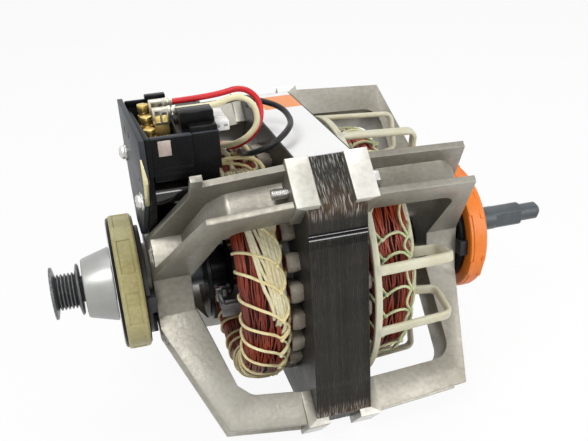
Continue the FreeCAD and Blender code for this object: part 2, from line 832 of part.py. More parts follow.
def switch_housing():
    """Moulded box with an open terminal pocket, on a bracket wall and a foot on the shield's hub."""
    left_back = plate_edge(switch_back)
    left_front = plate_edge(switch_front)
    w = switch_wall
    plan = [(left_back, switch_back), (left_front, switch_front), (switch_right, switch_front),
            (switch_right, switch_back)]
    box = plate_z(plan, switch_floor, switch_top)
    tier = block(tier_left, switch_right, tier_front, tier_back, switch_top, tier_top)
    tray = [(left_back + w, switch_back - w), (left_front + w, switch_front + w),
            (switch_pocket_right, switch_front + w), (switch_pocket_right, switch_back - w)]
    pocket = plate_z(tray, switch_pocket_floor, switch_top + 1)
    bracket = plate_x([(-switch_foot_half, hub_half), (switch_foot_front, switch_foot_shoulder),
                       (switch_foot_front, switch_floor), (switch_foot_half, switch_floor),
                       (switch_foot_half, hub_half)], switch_left, switch_bracket_end - switch_left)
    foot = block(switch_left, switch_foot_end, -switch_foot_half, switch_foot_half, hub_half, switch_floor)
    slant = plate_z([(0, switch_back + 1), (plate_edge(switch_back + 1), switch_back + 1),
                     (left_front, switch_front), (0, switch_front)], 0, switch_floor)
    boss = Part.makeCylinder(boss_radius, boss_end - switch_left - w, V(switch_left + w, boss_y, boss_z), AXIS)
    base = bracket.fuse(foot).cut(slant)
    return box.fuse([tier, base, boss] + lever_lugs()).cut(pocket).removeSplitter()


def lever_lugs():
    """Two ears of the housing and the pin between them that carries the lever."""
    lugs = []
    for side in (-1, 1):
        lug = block(switch_foot_end, lever_pivot_x + lever_pin_radius + switch_lug_gap,
                    side * (lever_half_width + side_clearance), side * switch_lug_half,
                    lever_pivot_z - lever_pin_radius - switch_lug_gap,
                    lever_pivot_z + lever_pin_radius + switch_lug_gap)
        lugs.append(lug)
    return lugs + [cross_pin(lever_pivot_x, lever_pivot_z, lever_pin_radius, switch_lug_half)]


def switch_plate():
    """Dark end plate over the housing's left face."""
    back = switch_back + plate_margin
    front = switch_front - plate_margin
    outline = [(back, plate_top_back), (front, switch_top), (front, plate_front_low),
               (plate_knee_y, plate_knee_z), (plate_toe_y, plate_toe_z), (-plate_toe_half, plate_lower_end),
               (plate_toe_half, plate_heel_z), (plate_bend_y, plate_bend_z), (back, plate_back_low)]
    t = plate_thickness
    band = [(plate_edge(back) - t, back), (plate_edge(front) - t, front), (plate_edge(front), front),
            (plate_edge(back), back)]
    return plate_x(outline, 0, switch_right).common(plate_z(band, 0, far_out))


def switch_strap():
    """Thin brass strap down the plate's front edge, drawn out to a tip at its top."""
    near = switch_front - plate_margin - strap_gap
    knee = plate_knee_y - strap_gap
    slope = (plate_toe_y - plate_knee_y) / (plate_knee_z - plate_toe_z)
    end = knee + slope * (plate_knee_z - strap_low)
    t = strap_thickness
    side = [(near, strap_top), (near - t, strap_top), (near - t, plate_front_low), (knee - t, plate_knee_z),
            (end - t, strap_low), (end, strap_low), (knee, plate_knee_z), (near, plate_front_low)]
    left = plate_edge(switch_front) - plate_thickness - strap_inset
    right = left + strap_width
    face = [(left, strap_low, 0), (right, strap_low, 0), (right, strap_top - strap_taper, 0),
            (left + strap_tip, strap_top, 0), (left, strap_top, 0)]
    return plate_x(side, left, strap_width).common(slab(face, far_out))


def switch_terminals():
    """Six-sided brass posts and flat tabs that stand in the housing's pocket."""
    pieces = []
    for y in post_rows:
        corners = [(post_x + post_reach * math.cos(math.radians(60 * i)),
                    y + post_reach * math.sin(math.radians(60 * i))) for i in range(6)]
        pieces.append(plate_z(corners, switch_pocket_floor, switch_pocket_floor + post_height))
    for y in tab_rows:
        pieces.append(block(tab_x, tab_x + tab_thickness, y - tab_half_width, y + tab_half_width,
                            switch_pocket_floor, switch_pocket_floor + tab_height))
    return pieces


def crimp_terminals():
    """Tinned push-on terminals of the two leads on the tabs."""
    pieces = []
    gap = crimp_clearance
    wall = crimp_wall + gap
    top = switch_pocket_floor + crimp_top
    for y in wired_rows:
        shell = block(tab_x - wall, tab_x + tab_thickness + wall, y - tab_half_width - wall,
                      y + tab_half_width + wall, switch_pocket_floor + crimp_bottom, top)
        slit = block(tab_x - gap, tab_x + tab_thickness + gap, y - tab_half_width - gap,
                     y + tab_half_width + gap, switch_pocket_floor, switch_pocket_floor + tab_height + gap)
        barrel = block(tab_x + tab_thickness, barrel_end, y - barrel_half, y + barrel_half,
                       top - 2 * barrel_half, top)
        pieces.append(shell.fuse(barrel).cut(slit).removeSplitter())
    return pieces


def connector_block():
    return block(switch_right, switch_right + connector_length, connector_front, connector_back,
                 connector_bottom, connector_top)


# Fasteners and label
def through_bolt():
    face = stack_rear + ear_length
    end = stack_front - ear_length - bolt_stud_length
    reach = bolt_head_flats / math.sqrt(3)
    corners = [(reach * math.cos(math.radians(60 * i)), reach * math.sin(math.radians(60 * i)))
               for i in range(6)]
    bolt = rod(end, face, bolt_radius).fuse(plate_x(corners, face, bolt_head_height))
    bolt.translate(V(0, 0, bolt_circle_radius))
    return bolt


def label():
    return block(stack_front + label_margin, stack_rear - label_margin, -label_half_length,
                 label_half_length, stack_half_width, stack_half_width + label_thickness)


# Lead wires
def lead(name, route):
    """Tube of straight runs and tangent arcs through the route's points."""
    points = [V(*p) for p in route]
    edges = []
    radii = []
    start = points[0]
    for i in range(1, len(points) - 1):
        back = points[i - 1] - points[i]
        on = points[i + 1] - points[i]
        tangent = 0.45 * min(back.Length, on.Length)
        back.normalize()
        on.normalize()
        radius = tangent / math.tan((math.pi - back.getAngle(on)) / 2)
        radii.append(round(radius, 1))
        first = points[i] + back * tangent
        last = points[i] + on * tangent
        middle = (back + on).normalize()
        centre = points[i] + middle * math.hypot(radius, tangent)
        edges.append(Part.LineSegment(start, first).toShape())
        edges.append(Part.Arc(first, centre - middle * radius, last).toShape())
        start = last
    edges.append(Part.LineSegment(start, points[-1]).toShape())
    path = Part.Wire(edges)
    run = (points[1] - points[0]).normalize()
    side = run.cross(V(0, 0, 1)).normalize()
    up = run.cross(side)
    corners = polygon_section(lead_diameter / 2, lead_sides)
    profile = Part.makePolygon([points[0] + side * a + up * b for a, b in corners + corners[:1]])
    tube = path.makePipeShell([profile], True, False)
    area = math.pi * lead_diameter ** 2 / 4
    print(name, "bend radii", radii, "length", round(path.Length, 1), "volume over section times length",
          round(tube.Volume / (area * path.Length), 3))
    return tube


def main():
    os.makedirs("parts", exist_ok=True)
    save("stator_core", stator_core())
    save("slot_liners", *slot_liners())
    save("coil_sides", *coil_sides())
    front_core, front_turns = coil_head(stack_front, -1)
    save("front_winding_core", front_core)
    save("front_winding", front_turns)
    rear_core, rear_turns = coil_head(stack_rear, 1)
    save("rear_winding_core", rear_core)
    save("rear_winding", rear_turns)
    save("winding_guard", winding_guard())
    save("front_shield", front_shield())
    save("rear_shield", rear_shield())
    save("front_ring", front_ring())
    save("rear_ring", rear_ring())
    save("front_ring_cup", ring_cup())
    save("ring_retainers", ring_retainer(ring_half_width, front_hub_start, front_clip_angles),
         ring_retainer(rear_ring_start, rear_hub_end, rear_clip_angles))
    save("shaft", shaft())
    save("pulley", pulley())
    save("bearings", bearing(front_bearing_start), bearing(rear_bearing_start))
    save("rotor_core", rotor_core())
    save("governor_base", governor_base())
    save("flyweight_upper", flyweight(1))
    save("flyweight_lower", flyweight(-1))
    save("governor_collar", governor_collar())
    save("start_lever", start_lever())
    save("switch_housing", switch_housing())
    save("switch_plate", switch_plate())
    save("switch_strap", switch_strap())
    save("switch_terminals", *switch_terminals())
    save("crimp_terminals", *crimp_terminals())
    save("connector_block", connector_block())
    save("through_bolts", *four_corners(through_bolt()))
    save("label", label())
    save("red_lead", lead("red lead", red_route))
    save("white_lead", lead("white lead", white_route))
    save("black_lead", lead("black lead", black_route))


main()
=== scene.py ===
"""Looks of a dryer motor with its pulley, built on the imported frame.

Places are written in millimetres unless a docstring says otherwise, and set in metres in the frame
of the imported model: X runs along the shaft towards its threaded end, Z points up and the
photographed side faces -Y.
"""

import logging
import math
import random
from dataclasses import dataclass
from enum import Enum
from typing import Callable, Iterable, Optional, Sequence

import bmesh
import bpy
from mathutils import Matrix, Vector


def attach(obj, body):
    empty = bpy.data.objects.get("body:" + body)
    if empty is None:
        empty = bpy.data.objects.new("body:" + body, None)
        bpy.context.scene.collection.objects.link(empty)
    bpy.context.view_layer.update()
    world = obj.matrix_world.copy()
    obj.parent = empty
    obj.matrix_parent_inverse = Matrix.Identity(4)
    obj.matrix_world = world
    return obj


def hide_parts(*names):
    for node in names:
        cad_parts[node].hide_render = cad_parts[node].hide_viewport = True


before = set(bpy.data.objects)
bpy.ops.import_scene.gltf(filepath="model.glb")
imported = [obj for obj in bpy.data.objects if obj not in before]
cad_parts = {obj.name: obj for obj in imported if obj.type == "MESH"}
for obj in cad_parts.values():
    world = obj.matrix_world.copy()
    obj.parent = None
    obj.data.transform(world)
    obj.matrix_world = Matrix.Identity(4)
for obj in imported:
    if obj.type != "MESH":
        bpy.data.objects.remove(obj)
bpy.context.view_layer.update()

log = logging.getLogger("dryer_motor")
MM = 0.001
Point = tuple[float, float, float]
Colour = tuple[float, float, float]

WHITE = (1.0, 1.0, 1.0, 1.0)
STAGE_MIDDLE = (0.09, 0.0, 0.0)
GLOW_REACH = (0.004, 0.003, 0.002)
STREAK_SCALE = (1900.0, 210.0, 210.0)
FIBRE_SCALE = (400.0, 90.0, 90.0)
STAIN_BROWN = (0.11, 0.062, 0.029)
# Colour of the painted glints on the stack's sheet edges.
GLINT_STEEL = (0.62, 0.61, 0.58)
FLAT_ANGLE = math.radians(1.5)
SHARP_ANGLE = math.radians(28.0)
SLOT_MIDDLE = 52.0
MIX_INPUTS = (0, 6, 7)
MIX_COLOUR = 2


def mm(*values: float) -> Vector:
    """Point given in millimetres.

    Args:
        values: Its three coordinates.

    Returns:
        The point in metres.
    """
    return Vector(values) * MM


def about_shaft(degrees: float) -> Matrix:
    """Turn about the shaft.

    Args:
        degrees: Its angle, from +Y towards +Z.

    Returns:
        The turn.
    """
    return Matrix.Rotation(math.radians(degrees), 4, "X")


def put(name: str, data: bpy.types.ID) -> bpy.types.Object:
    """Sets an object in the scene.

    Args:
        name: Its name.
        data: Its mesh, curve, lamp or camera.

    Returns:
        The object.
    """
    made = bpy.data.objects.new(name, data)
    bpy.context.scene.collection.objects.link(made)
    return made


# ---------------------------------------------------------------- node groups and finishes

class NodeSheet:
    """Short hand for a node tree's nodes and links."""

    def __init__(self, tree: bpy.types.NodeTree) -> None:
        """Keeps the tree.

        Args:
            tree: The node tree to fill.
        """
        self.tree = tree

    @classmethod
    def blank(cls, owner: bpy.types.ID) -> "NodeSheet":
        """Empties the node tree of a material or world.

        Args:
            owner: The material or world.

        Returns:
            The sheet of its tree.
        """
        owner.use_nodes = True
        owner.node_tree.nodes.clear()
        return cls(owner.node_tree)

    def feed(self, target: bpy.types.NodeSocket, value: object) -> None:
        """Links an input to an output, or sets its value.

        Args:
            target: The input.
            value: An output or a plain value.
        """
        if isinstance(value, bpy.types.NodeSocket):
            self.tree.links.new(value, target)
        else:
            target.default_value = value

    def add(self, kind: str, **values: object) -> bpy.types.Node:
        """Adds a node.

        Args:
            kind: The node's type name without its ShaderNode prefix.
            values: Properties by name, and inputs by name with spaces as underscores.

        Returns:
            The new node.
        """
        node = self.tree.nodes.new("ShaderNode" + kind)
        for name, value in values.items():
            socket = None if hasattr(node, name) else node.inputs.get(name.replace("_", " "))
            if socket is None:
                setattr(node, name, value)
            else:
                self.feed(socket, value)
        return node

    def noise(self, place: bpy.types.NodeSocket, scale: object, detail: float) -> bpy.types.NodeSocket:
        """Adds a noise texture.

        Args:
            place: Its coordinates.
            scale: Its scale or a socket that gives it.
            detail: Its detail.

        Returns:
            Its value.
        """
        return self.add("TexNoise", Vector=place, Scale=scale, Detail=detail).outputs["Fac"]

    def ramp(self, value: bpy.types.NodeSocket, low: float, high: float) -> bpy.types.NodeSocket:
        """Maps a value to the share of its way between two limits.

        Args:
            value: The value.
            low: The limit that gives 0.
            high: The limit that gives 1.

        Returns:
            The share.
        """
        return self.add("MapRange", Value=value, From_Min=low, From_Max=high).outputs[0]

    def math(self, operation: str, a: object, b: object = 0.0) -> bpy.types.NodeSocket:
        """Adds a Math node.

        Args:
            operation: Its operation.
            a: First value or socket.
            b: Second value or socket.

        Returns:
            Its output.
        """
        node = self.add("Math", operation=operation)
        for socket, value in zip(node.inputs, (a, b)):
            self.feed(socket, value)
        return node.outputs[0]

    def mix(self, factor: object, a: object, b: object) -> bpy.types.NodeSocket:
        """Mixes two colours.

        Args:
            factor: Share of the second colour.
            a: First colour or socket.
            b: Second colour or socket.

        Returns:
            The mixed colour.
        """
        node = self.add("Mix", data_type="RGBA")
        for index, value in zip(MIX_INPUTS, (factor, a, b)):
            self.feed(node.inputs[index], value)
        return node.outputs[MIX_COLOUR]


def rgba(colour: Colour) -> tuple[float, float, float, float]:
    """Colour with full alpha.

    Args:
        colour: Red, green and blue.

    Returns:
        The four values.
    """
    return (*colour, 1.0)


class EffectGroup:
    """A shader node group that is built once and shared by the finishes."""

    made: dict[str, bpy.types.NodeTree] = {}

    @classmethod
    def get(cls, name: str, inputs: Sequence[tuple[str, str]], outputs: Sequence[tuple[str, str]],
            build: Callable[[NodeSheet, bpy.types.Node, bpy.types.Node], None]) -> bpy.types.NodeTree:
        """Makes the group, or returns it if it is there.

        Args:
            name: The group's name.
            inputs: Name and kind of each input.
            outputs: Name and kind of each output.
            build: Fills the group between its input and output nodes.

        Returns:
            The node group.
        """
        if name not in cls.made:
            tree = bpy.data.node_groups.new(name, "ShaderNodeTree")
            for way, sockets in (("INPUT", inputs), ("OUTPUT", outputs)):
                for label, kind in sockets:
                    tree.interface.new_socket(label, in_out=way, socket_type="NodeSocket" + kind)
            build(NodeSheet(tree), tree.nodes.new("NodeGroupInput"), tree.nodes.new("NodeGroupOutput"))
            cls.made[name] = tree
        return cls.made[name]


def patina_group() -> bpy.types.NodeTree:
    """Cloudy change of colour and roughness, with fine speckle, for every surface.

    Returns:
        The node group.
    """
    def build(sheet: NodeSheet, start: bpy.types.Node, end: bpy.types.Node) -> None:
        """Fills the group.

        Args:
            sheet: The group's tree.
            start: Its input node.
            end: Its output node.
        """
        value = start.outputs
        cloudy = sheet.ramp(sheet.noise(value["Vector"], value["Cloud Scale"], 5.0), 0.32, 0.68)
        specked = sheet.ramp(sheet.noise(value["Vector"], value["Speck Scale"], 3.0), 0.3, 0.7)
        both = sheet.math("ADD", sheet.math("MULTIPLY", cloudy, value["Cloud"]),
                          sheet.math("MULTIPLY", specked, value["Speck"]))
        spread = sheet.math("MULTIPLY", sheet.math("SUBTRACT", both, 0.3), value["Spread"])
        sheet.feed(end.inputs["Color"], sheet.mix(both, value["Colour"], value["Shade"]))
        sheet.feed(end.inputs["Roughness"], sheet.math("ADD", value["Roughness"], spread))
        sheet.feed(end.inputs["Height"], specked)

    numbers = ("Cloud Scale", "Speck Scale", "Cloud", "Speck", "Roughness", "Spread")
    return EffectGroup.get("patina", [("Vector", "Vector"), ("Colour", "Color"), ("Shade", "Color"),
                                      *((name, "Float") for name in numbers)],
                           [("Color", "Color"), ("Roughness", "Float"), ("Height", "Float")], build)


def lines_group() -> bpy.types.NodeTree:
    """Fine lines square to the shaft, as sheet edges or a tool's marks leave them.

    Returns:
        The node group.
    """
    def build(sheet: NodeSheet, start: bpy.types.Node, end: bpy.types.Node) -> None:
        """Fills the group.

        Args:
            sheet: The group's tree.
            start: Its input node.
            end: Its output node.
        """
        value = start.outputs
        along = sheet.add("SeparateXYZ", Vector=value["Vector"]).outputs[0]
        bend = sheet.math("SUBTRACT", sheet.noise(value["Vector"], 90.0, 2.0), 0.5)
        bent = sheet.math("ADD", along, sheet.math("MULTIPLY", bend, value["Wander"]))
        place = sheet.math("DIVIDE", bent, value["Pitch"])
        wave = sheet.math("SINE", sheet.math("MULTIPLY", place, 2 * math.pi))
        pick = sheet.add("TexWhiteNoise", noise_dimensions="1D", W=sheet.math("FLOOR", place))
        sheet.feed(end.inputs["Height"], sheet.math("ADD", sheet.math("MULTIPLY", wave, 0.5), 0.5))
        sheet.feed(end.inputs["Pick"], pick.outputs["Value"])

    return EffectGroup.get("shaft_lines", [("Vector", "Vector"), ("Pitch", "Float"), ("Wander", "Float")],
                           [("Height", "Float"), ("Pick", "Float")], build)


class Pattern(Enum):
    """What is laid over a finish's patina."""

    PLAIN = "plain"
    LINES = "lines"
    SHEETS = "sheets"
    FIBRES = "fibres"
    TWIST = "twist"


@dataclass(frozen=True)
class Finish:
    """One surface finish: a patina, an optional pattern and a bump on a Principled shader."""

    name: str
    colour: Colour
    shade: Colour
    roughness: float = 0.4
    metallic: float = 0.0
    cloud: float = 0.6
    cloud_scale: float = 90.0
    speck: float = 0.3
    speck_scale: float = 900.0
    spread: float = 0.2
    bump: float = 0.2
    bump_depth: float = 0.0001
    pattern: Pattern = Pattern.PLAIN
    pitch: float = 0.0006
    pattern_share: float = 0.5
    coat: float = 0.0
    glow_through: float = 0.0
    sheen: float = 0.0
    specular: float = 0.5

    def material(self) -> bpy.types.Material:
        """Builds the material once.

        Returns:
            The material.
        """
        label = self.name + "_finish"
        found = bpy.data.materials.get(label)
        if found is not None:
            return found
        made = bpy.data.materials.new(label)
        sheet = NodeSheet.blank(made)
        place = sheet.add("TexCoord").outputs["Object"]
        patina = sheet.add("Group", node_tree=patina_group(), Vector=place, Colour=rgba(self.colour),
                           Shade=rgba(self.shade), Cloud_Scale=self.cloud_scale, Speck_Scale=self.speck_scale,
                           Cloud=self.cloud, Speck=self.speck, Roughness=self.roughness, Spread=self.spread)
        colour, height = patina.outputs["Color"], patina.outputs["Height"]
        if self.pattern is not Pattern.PLAIN:
            colour, height = self.lay_pattern(sheet, place, colour, height)
        bump = sheet.add("Bump", Strength=self.bump, Distance=self.bump_depth, Height=height)
        shader = sheet.add("BsdfPrincipled", Base_Color=colour, Roughness=patina.outputs["Roughness"],
                           Normal=bump.outputs["Normal"], Metallic=self.metallic, Coat_Weight=self.coat,
                           Subsurface_Weight=self.glow_through, Sheen_Weight=self.sheen,
                           Specular_IOR_Level=self.specular)
        if self.glow_through:
            shader.inputs["Subsurface Radius"].default_value = GLOW_REACH
            shader.inputs["Subsurface Scale"].default_value = 1.0
        sheet.add("OutputMaterial", Surface=shader.outputs[0])
        return made

    @staticmethod
    def lay_streaks(sheet: NodeSheet, place: bpy.types.NodeSocket, colour: bpy.types.NodeSocket,
                    pick: bpy.types.NodeSocket) -> bpy.types.NodeSocket:
        """Lays painted glints, bright streaks that stand in for highlights on sheet edges, most of all on the stack's
        slanted corners.

        Args:
            sheet: The material's tree.
            place: Object coordinates.
            colour: The colour below.
            pick: Random value of each sheet.

        Returns:
            The streaked colour.
        """
        across, up = (sheet.math("ABSOLUTE", part) for part in sheet.add("SeparateXYZ", Vector=place).outputs[1:])
        corner = sheet.ramp(sheet.math("ADD", across, up), 0.117, 0.1225)
        side = sheet.ramp(across, 0.060, 0.070)
        stretch = sheet.add("Mapping", Vector=place, Scale=STREAK_SCALE)
        grain = sheet.ramp(sheet.noise(stretch.outputs[0], 1.0, 4.0), 0.50, 0.72)
        # Painted highlight: bright streaks along the sheets, mostly on the corners.
        glints = sheet.math("MULTIPLY", grain, sheet.math("ADD", pick, 0.35))
        share = sheet.math("MULTIPLY", glints, sheet.math("ADD", sheet.math("MULTIPLY", corner, 0.80), 0.03))
        brown = sheet.math("MULTIPLY", sheet.math("MULTIPLY", side, corner), 0.5)
        colour = sheet.mix(brown, colour, rgba(STAIN_BROWN))
        return sheet.mix(sheet.math("MINIMUM", share, 0.85), colour, rgba(GLINT_STEEL))

    def lay_pattern(self, sheet: NodeSheet, place: bpy.types.NodeSocket, colour: bpy.types.NodeSocket,
                    height: bpy.types.NodeSocket) -> tuple[bpy.types.NodeSocket, bpy.types.NodeSocket]:
        """Lays the pattern over the patina.

        Args:
            sheet: The material's tree.
            place: Object coordinates.
            colour: The patina's colour.
            height: The patina's height.

        Returns:
            The patterned colour and height.
        """
        shade = rgba(self.shade)
        if self.pattern in (Pattern.LINES, Pattern.SHEETS):
            lines = sheet.add("Group", node_tree=lines_group(), Vector=place, Pitch=self.pitch,
                              Wander=self.pitch * 0.35)
            pick = lines.outputs["Pick"]
            colour = sheet.mix(sheet.math("MULTIPLY", pick, self.pattern_share), colour, shade)
            if self.pattern is Pattern.SHEETS:
                colour = self.lay_streaks(sheet, place, colour, pick)
            return colour, sheet.math("ADD", lines.outputs["Height"], sheet.math("MULTIPLY", height, 0.3))
        if self.pattern is Pattern.FIBRES:
            stretch = sheet.add("Mapping", Vector=place, Scale=FIBRE_SCALE)
            grain = sheet.noise(stretch.outputs[0], 6.0, 3.0)
        else:
            weave = sheet.add("TexWave", wave_type="BANDS", bands_direction="DIAGONAL", Vector=place,
                              Scale=1.0 / self.pitch / 6.0, Distortion=2.0, Detail=1.0)
            grain = weave.outputs["Fac"]
        share = sheet.math("MULTIPLY", grain, self.pattern_share)
        return sheet.mix(share, colour, shade), sheet.math("ADD", grain, height)


CAST = Finish("cast_aluminium", (0.395, 0.378, 0.33), (0.185, 0.17, 0.135), 0.34, 0.6, cloud=0.8, cloud_scale=15.0,
              speck=0.22, speck_scale=480.0, bump=0.25, bump_depth=0.0002)
# Brighter copy of the cast finish for the feet's slanted faces: painted light, so they read as lit.
CAST_FOOT_LIT = Finish("painted_lit_foot", (0.806, 0.793, 0.741), (0.468, 0.448, 0.397), 0.34, 0.55, cloud=0.8,
                   cloud_scale=45.0, speck_scale=420.0, bump=0.25, bump_depth=0.0002)
# Lighter finish on the shields' rounded edges: partly worn metal, partly a painted highlight along the edges.
CAST_EDGE_WEAR_AND_HIGHLIGHT = Finish("worn_edge_and_highlight", (0.88, 0.88, 0.88), (0.65, 0.611, 0.546), 0.26, 0.6, cloud=0.7, cloud_scale=40.0,
                   speck_scale=1400.0, spread=0.15, bump=0.15)
CAST_TURNED = Finish("turned_aluminium", (0.442, 0.448, 0.429), (0.286, 0.286, 0.267), 0.36, 0.7, cloud_scale=28.0,
                     speck=0.1, spread=0.1, bump=0.02, pattern=Pattern.LINES, pitch=0.0005, pattern_share=0.12)
STACK = Finish("blued_sheet_steel", (0.0117, 0.0123, 0.0111), (0.039, 0.0364, 0.0299), 0.36, 0.0, cloud_scale=40.0,
               speck=0.4, speck_scale=700.0, spread=0.25, bump=0.7, bump_depth=0.0002, pattern=Pattern.SHEETS,
               pitch=0.00089, pattern_share=0.45, specular=0.13)
ROTOR = Finish("rotor_steel", (0.39, 0.39, 0.39), (0.182, 0.169, 0.156), 0.35, 0.8, cloud=0.5, cloud_scale=60.0,
               bump=0.5, bump_depth=0.0002, pattern=Pattern.LINES, pitch=0.00066)
SHAFT = Finish("shaft_steel", (0.111, 0.127, 0.137), (0.0585, 0.065, 0.0715), 0.38, 0.55, cloud_scale=70.0,
               bump=0.3, pattern=Pattern.LINES, pitch=0.0004, pattern_share=0.4)
PULLEY = Finish("pulley_steel", (0.091, 0.0975, 0.104), (0.208, 0.208, 0.208), 0.34, 0.7, cloud=0.5, speck=0.4,
                bump=0.3, pattern=Pattern.LINES, pitch=0.0004)
BRIGHT = Finish("bright_steel", (0.78, 0.793, 0.806), (0.39, 0.403, 0.429), 0.18, 1.0, cloud=0.4, cloud_scale=60.0,
                speck=0.2, speck_scale=700.0, spread=0.1, bump=0.1)
ZINC = Finish("zinc_steel", (0.78, 0.78, 0.767), (0.468, 0.455, 0.429), 0.3, 0.95, cloud_scale=120.0)
PLAIN_STEEL = Finish("plain_steel", (0.442, 0.442, 0.455), (0.234, 0.221, 0.208), 0.4, 0.9, speck_scale=800.0)
DARK_STEEL = Finish("dark_steel", (0.0182, 0.0195, 0.0221), (0.0585, 0.0546, 0.052), 0.42, 0.3, cloud=0.5,
                    speck=0.4, bump=0.3, specular=0.25)
BRONZE = Finish("bearing_bronze", (0.546, 0.364, 0.156), (0.286, 0.182, 0.078), 0.4, 0.9, cloud=0.5, speck=0.4)
BRASS = Finish("terminal_brass", (0.88, 0.728, 0.26), (0.65, 0.377, 0.104), 0.27, 0.9, cloud_scale=150.0,
               speck_scale=1100.0)
PALE_BRASS = Finish("strap_brass", (0.88, 0.858, 0.546), (0.65, 0.546, 0.286), 0.3, 0.9, cloud_scale=120.0,
                    speck_scale=1100.0)
TINNED = Finish("tinned_brass", (0.858, 0.845, 0.78), (0.546, 0.494, 0.364), 0.3, 0.95, cloud_scale=160.0,
                speck_scale=1100.0)
CREAM_RUBBER = Finish("cream_rubber", (0.494, 0.455, 0.227), (0.26, 0.215, 0.0715), 0.42, 0.0, cloud=0.95,
                      cloud_scale=38.0, speck_scale=700.0, spread=0.15, bump=0.25, bump_depth=0.0002)
ORANGE_RUBBER = Finish("orange_rubber", (0.832, 0.215, 0.0143), (0.598, 0.137, 0.0104), 0.42, 0.0, cloud_scale=45.0,
                       speck=0.25, speck_scale=800.0, spread=0.15, bump_depth=0.0002)
NYLON = Finish("moulded_nylon", (0.611, 0.598, 0.474), (0.468, 0.436, 0.286), 0.38, 0.0, cloud_scale=60.0,
               speck=0.2, speck_scale=800.0, spread=0.15, bump_depth=0.0002, glow_through=0.25)
BLACK_PLASTIC = Finish("black_plastic", (0.0042, 0.0043, 0.0047), (0.0111, 0.0113, 0.0123), 0.25, 0.0, cloud=0.5,
                       cloud_scale=70.0, speck_scale=1100.0, spread=0.12, bump=0.12, specular=0.08)
GLOSS_BLACK = Finish("gloss_black", (0.0065, 0.0059, 0.0052), (0.013, 0.0117, 0.0104), 0.12, 0.0, cloud=0.5,
                     cloud_scale=70.0, speck=0.2, speck_scale=1100.0, spread=0.05, bump=0.02, specular=0.6)
DARK_PLATE = Finish("dark_plate", (0.0208, 0.0247, 0.0299), (0.0494, 0.0546, 0.0637), 0.40, 0.0, cloud_scale=60.0,
                    speck=0.55, speck_scale=1300.0, spread=0.15, bump=0.3, specular=0.2)
GREY_PLASTIC = Finish("grey_plastic", (0.26, 0.26, 0.24), (0.156, 0.156, 0.143), 0.45, 0.0, cloud_scale=70.0,
                      speck=0.4, speck_scale=1100.0, spread=0.15, bump=0.3)
WHITE_PLASTIC = Finish("white_plastic", (0.88, 0.88, 0.88), (0.754, 0.741, 0.676), 0.38, 0.0, cloud=0.5, speck=0.2,
                       spread=0.15, bump=0.15, specular=0.3)
WINDOW_METAL = Finish("window_metal", (0.52, 0.442, 0.403), (0.338, 0.26, 0.221), 0.32, 0.5, speck=0.4, bump=0.15)
SLOT_PAPER = Finish("slot_paper", (0.351, 0.319, 0.26), (0.156, 0.13, 0.0975), 0.5, 0.0, cloud=0.9,
                    cloud_scale=120.0, speck=0.4, speck_scale=700.0, spread=0.1, bump=0.5, bump_depth=0.0002,
                    pattern=Pattern.FIBRES, pitch=0.001, pattern_share=0.3)
WIRE_RED = Finish("enamel_red", (0.468, 0.0715, 0.026), (0.13, 0.0182, 0.0104), 0.30, 0.2, cloud=0.8,
                  cloud_scale=45.0, speck_scale=800.0, spread=0.15, bump=0.1, coat=0.2)
WIRE_COPPER = Finish("enamel_copper", (0.702, 0.202, 0.078), (0.286, 0.0585, 0.026), 0.28, 0.3, cloud=0.8,
                     cloud_scale=45.0, speck_scale=800.0, spread=0.15, bump=0.1, coat=0.2)
# Dark enamel: some strands dark at random, and painted shade on the deeper layer of the coil heads.
WIRE_DARK_AND_SHADE = Finish("enamel_dark_and_shade", (0.0585, 0.0143, 0.0104), (0.026, 0.0078, 0.0065), 0.4, 0.1, cloud=0.7,
                   cloud_scale=55.0, speck_scale=800.0, spread=0.15, bump=0.1, specular=0.3)
# Near-black body colour under the strands: painted shade in the gaps between them.
WINDING_SHADE = Finish("winding_core", (0.0156, 0.0052, 0.0039), (0.0078, 0.0039, 0.0026), 0.6, 0.0, cloud=0.7,
                      cloud_scale=70.0, speck=0.4, spread=0.1, bump=0.4, bump_depth=0.0004, specular=0.15)
CREAM_CORD = Finish("cream_cord", (0.88, 0.871, 0.546), (0.78, 0.598, 0.26), 0.55, 0.0, cloud_scale=80.0,
                    spread=0.1, bump=0.5, bump_depth=0.0003, pattern=Pattern.TWIST, pitch=0.0012,
                    pattern_share=0.35, sheen=0.2)
GREEN_CORD = Finish("green_cord", (0.312, 0.455, 0.221), (0.676, 0.65, 0.377), 0.6, 0.0, cloud=0.9,
                    cloud_scale=110.0, spread=0.1, bump=0.5, bump_depth=0.0003, pattern=Pattern.TWIST, pitch=0.0012,
                    pattern_share=0.35, sheen=0.2)
SLEEVE = Finish("cream_sleeve", (0.88, 0.88, 0.702), (0.676, 0.585, 0.338), 0.55, 0.0, cloud=0.7, cloud_scale=80.0,
                speck=0.4, spread=0.1, bump=0.5, bump_depth=0.0003, pattern=Pattern.TWIST, pitch=0.0010,
                pattern_share=0.3)
RED_PVC = Finish("red_insulation", (0.728, 0.0234, 0.0312), (0.442, 0.013, 0.0156), 0.32, 0.0, speck=0.2,
                 spread=0.1, bump=0.1, specular=0.35)
CREAM_PVC = Finish("cream_insulation", (0.88, 0.858, 0.585), (0.754, 0.65, 0.39), 0.40, 0.0, speck=0.2, spread=0.1,
                   bump=0.1, specular=0.3)
BLACK_PVC = Finish("black_insulation", (0.0078, 0.0078, 0.0091), (0.0208, 0.0208, 0.0221), 0.34, 0.0, speck=0.2,
                   spread=0.1, bump=0.1, specular=0.22)


# ---------------------------------------------------------------- mesh work

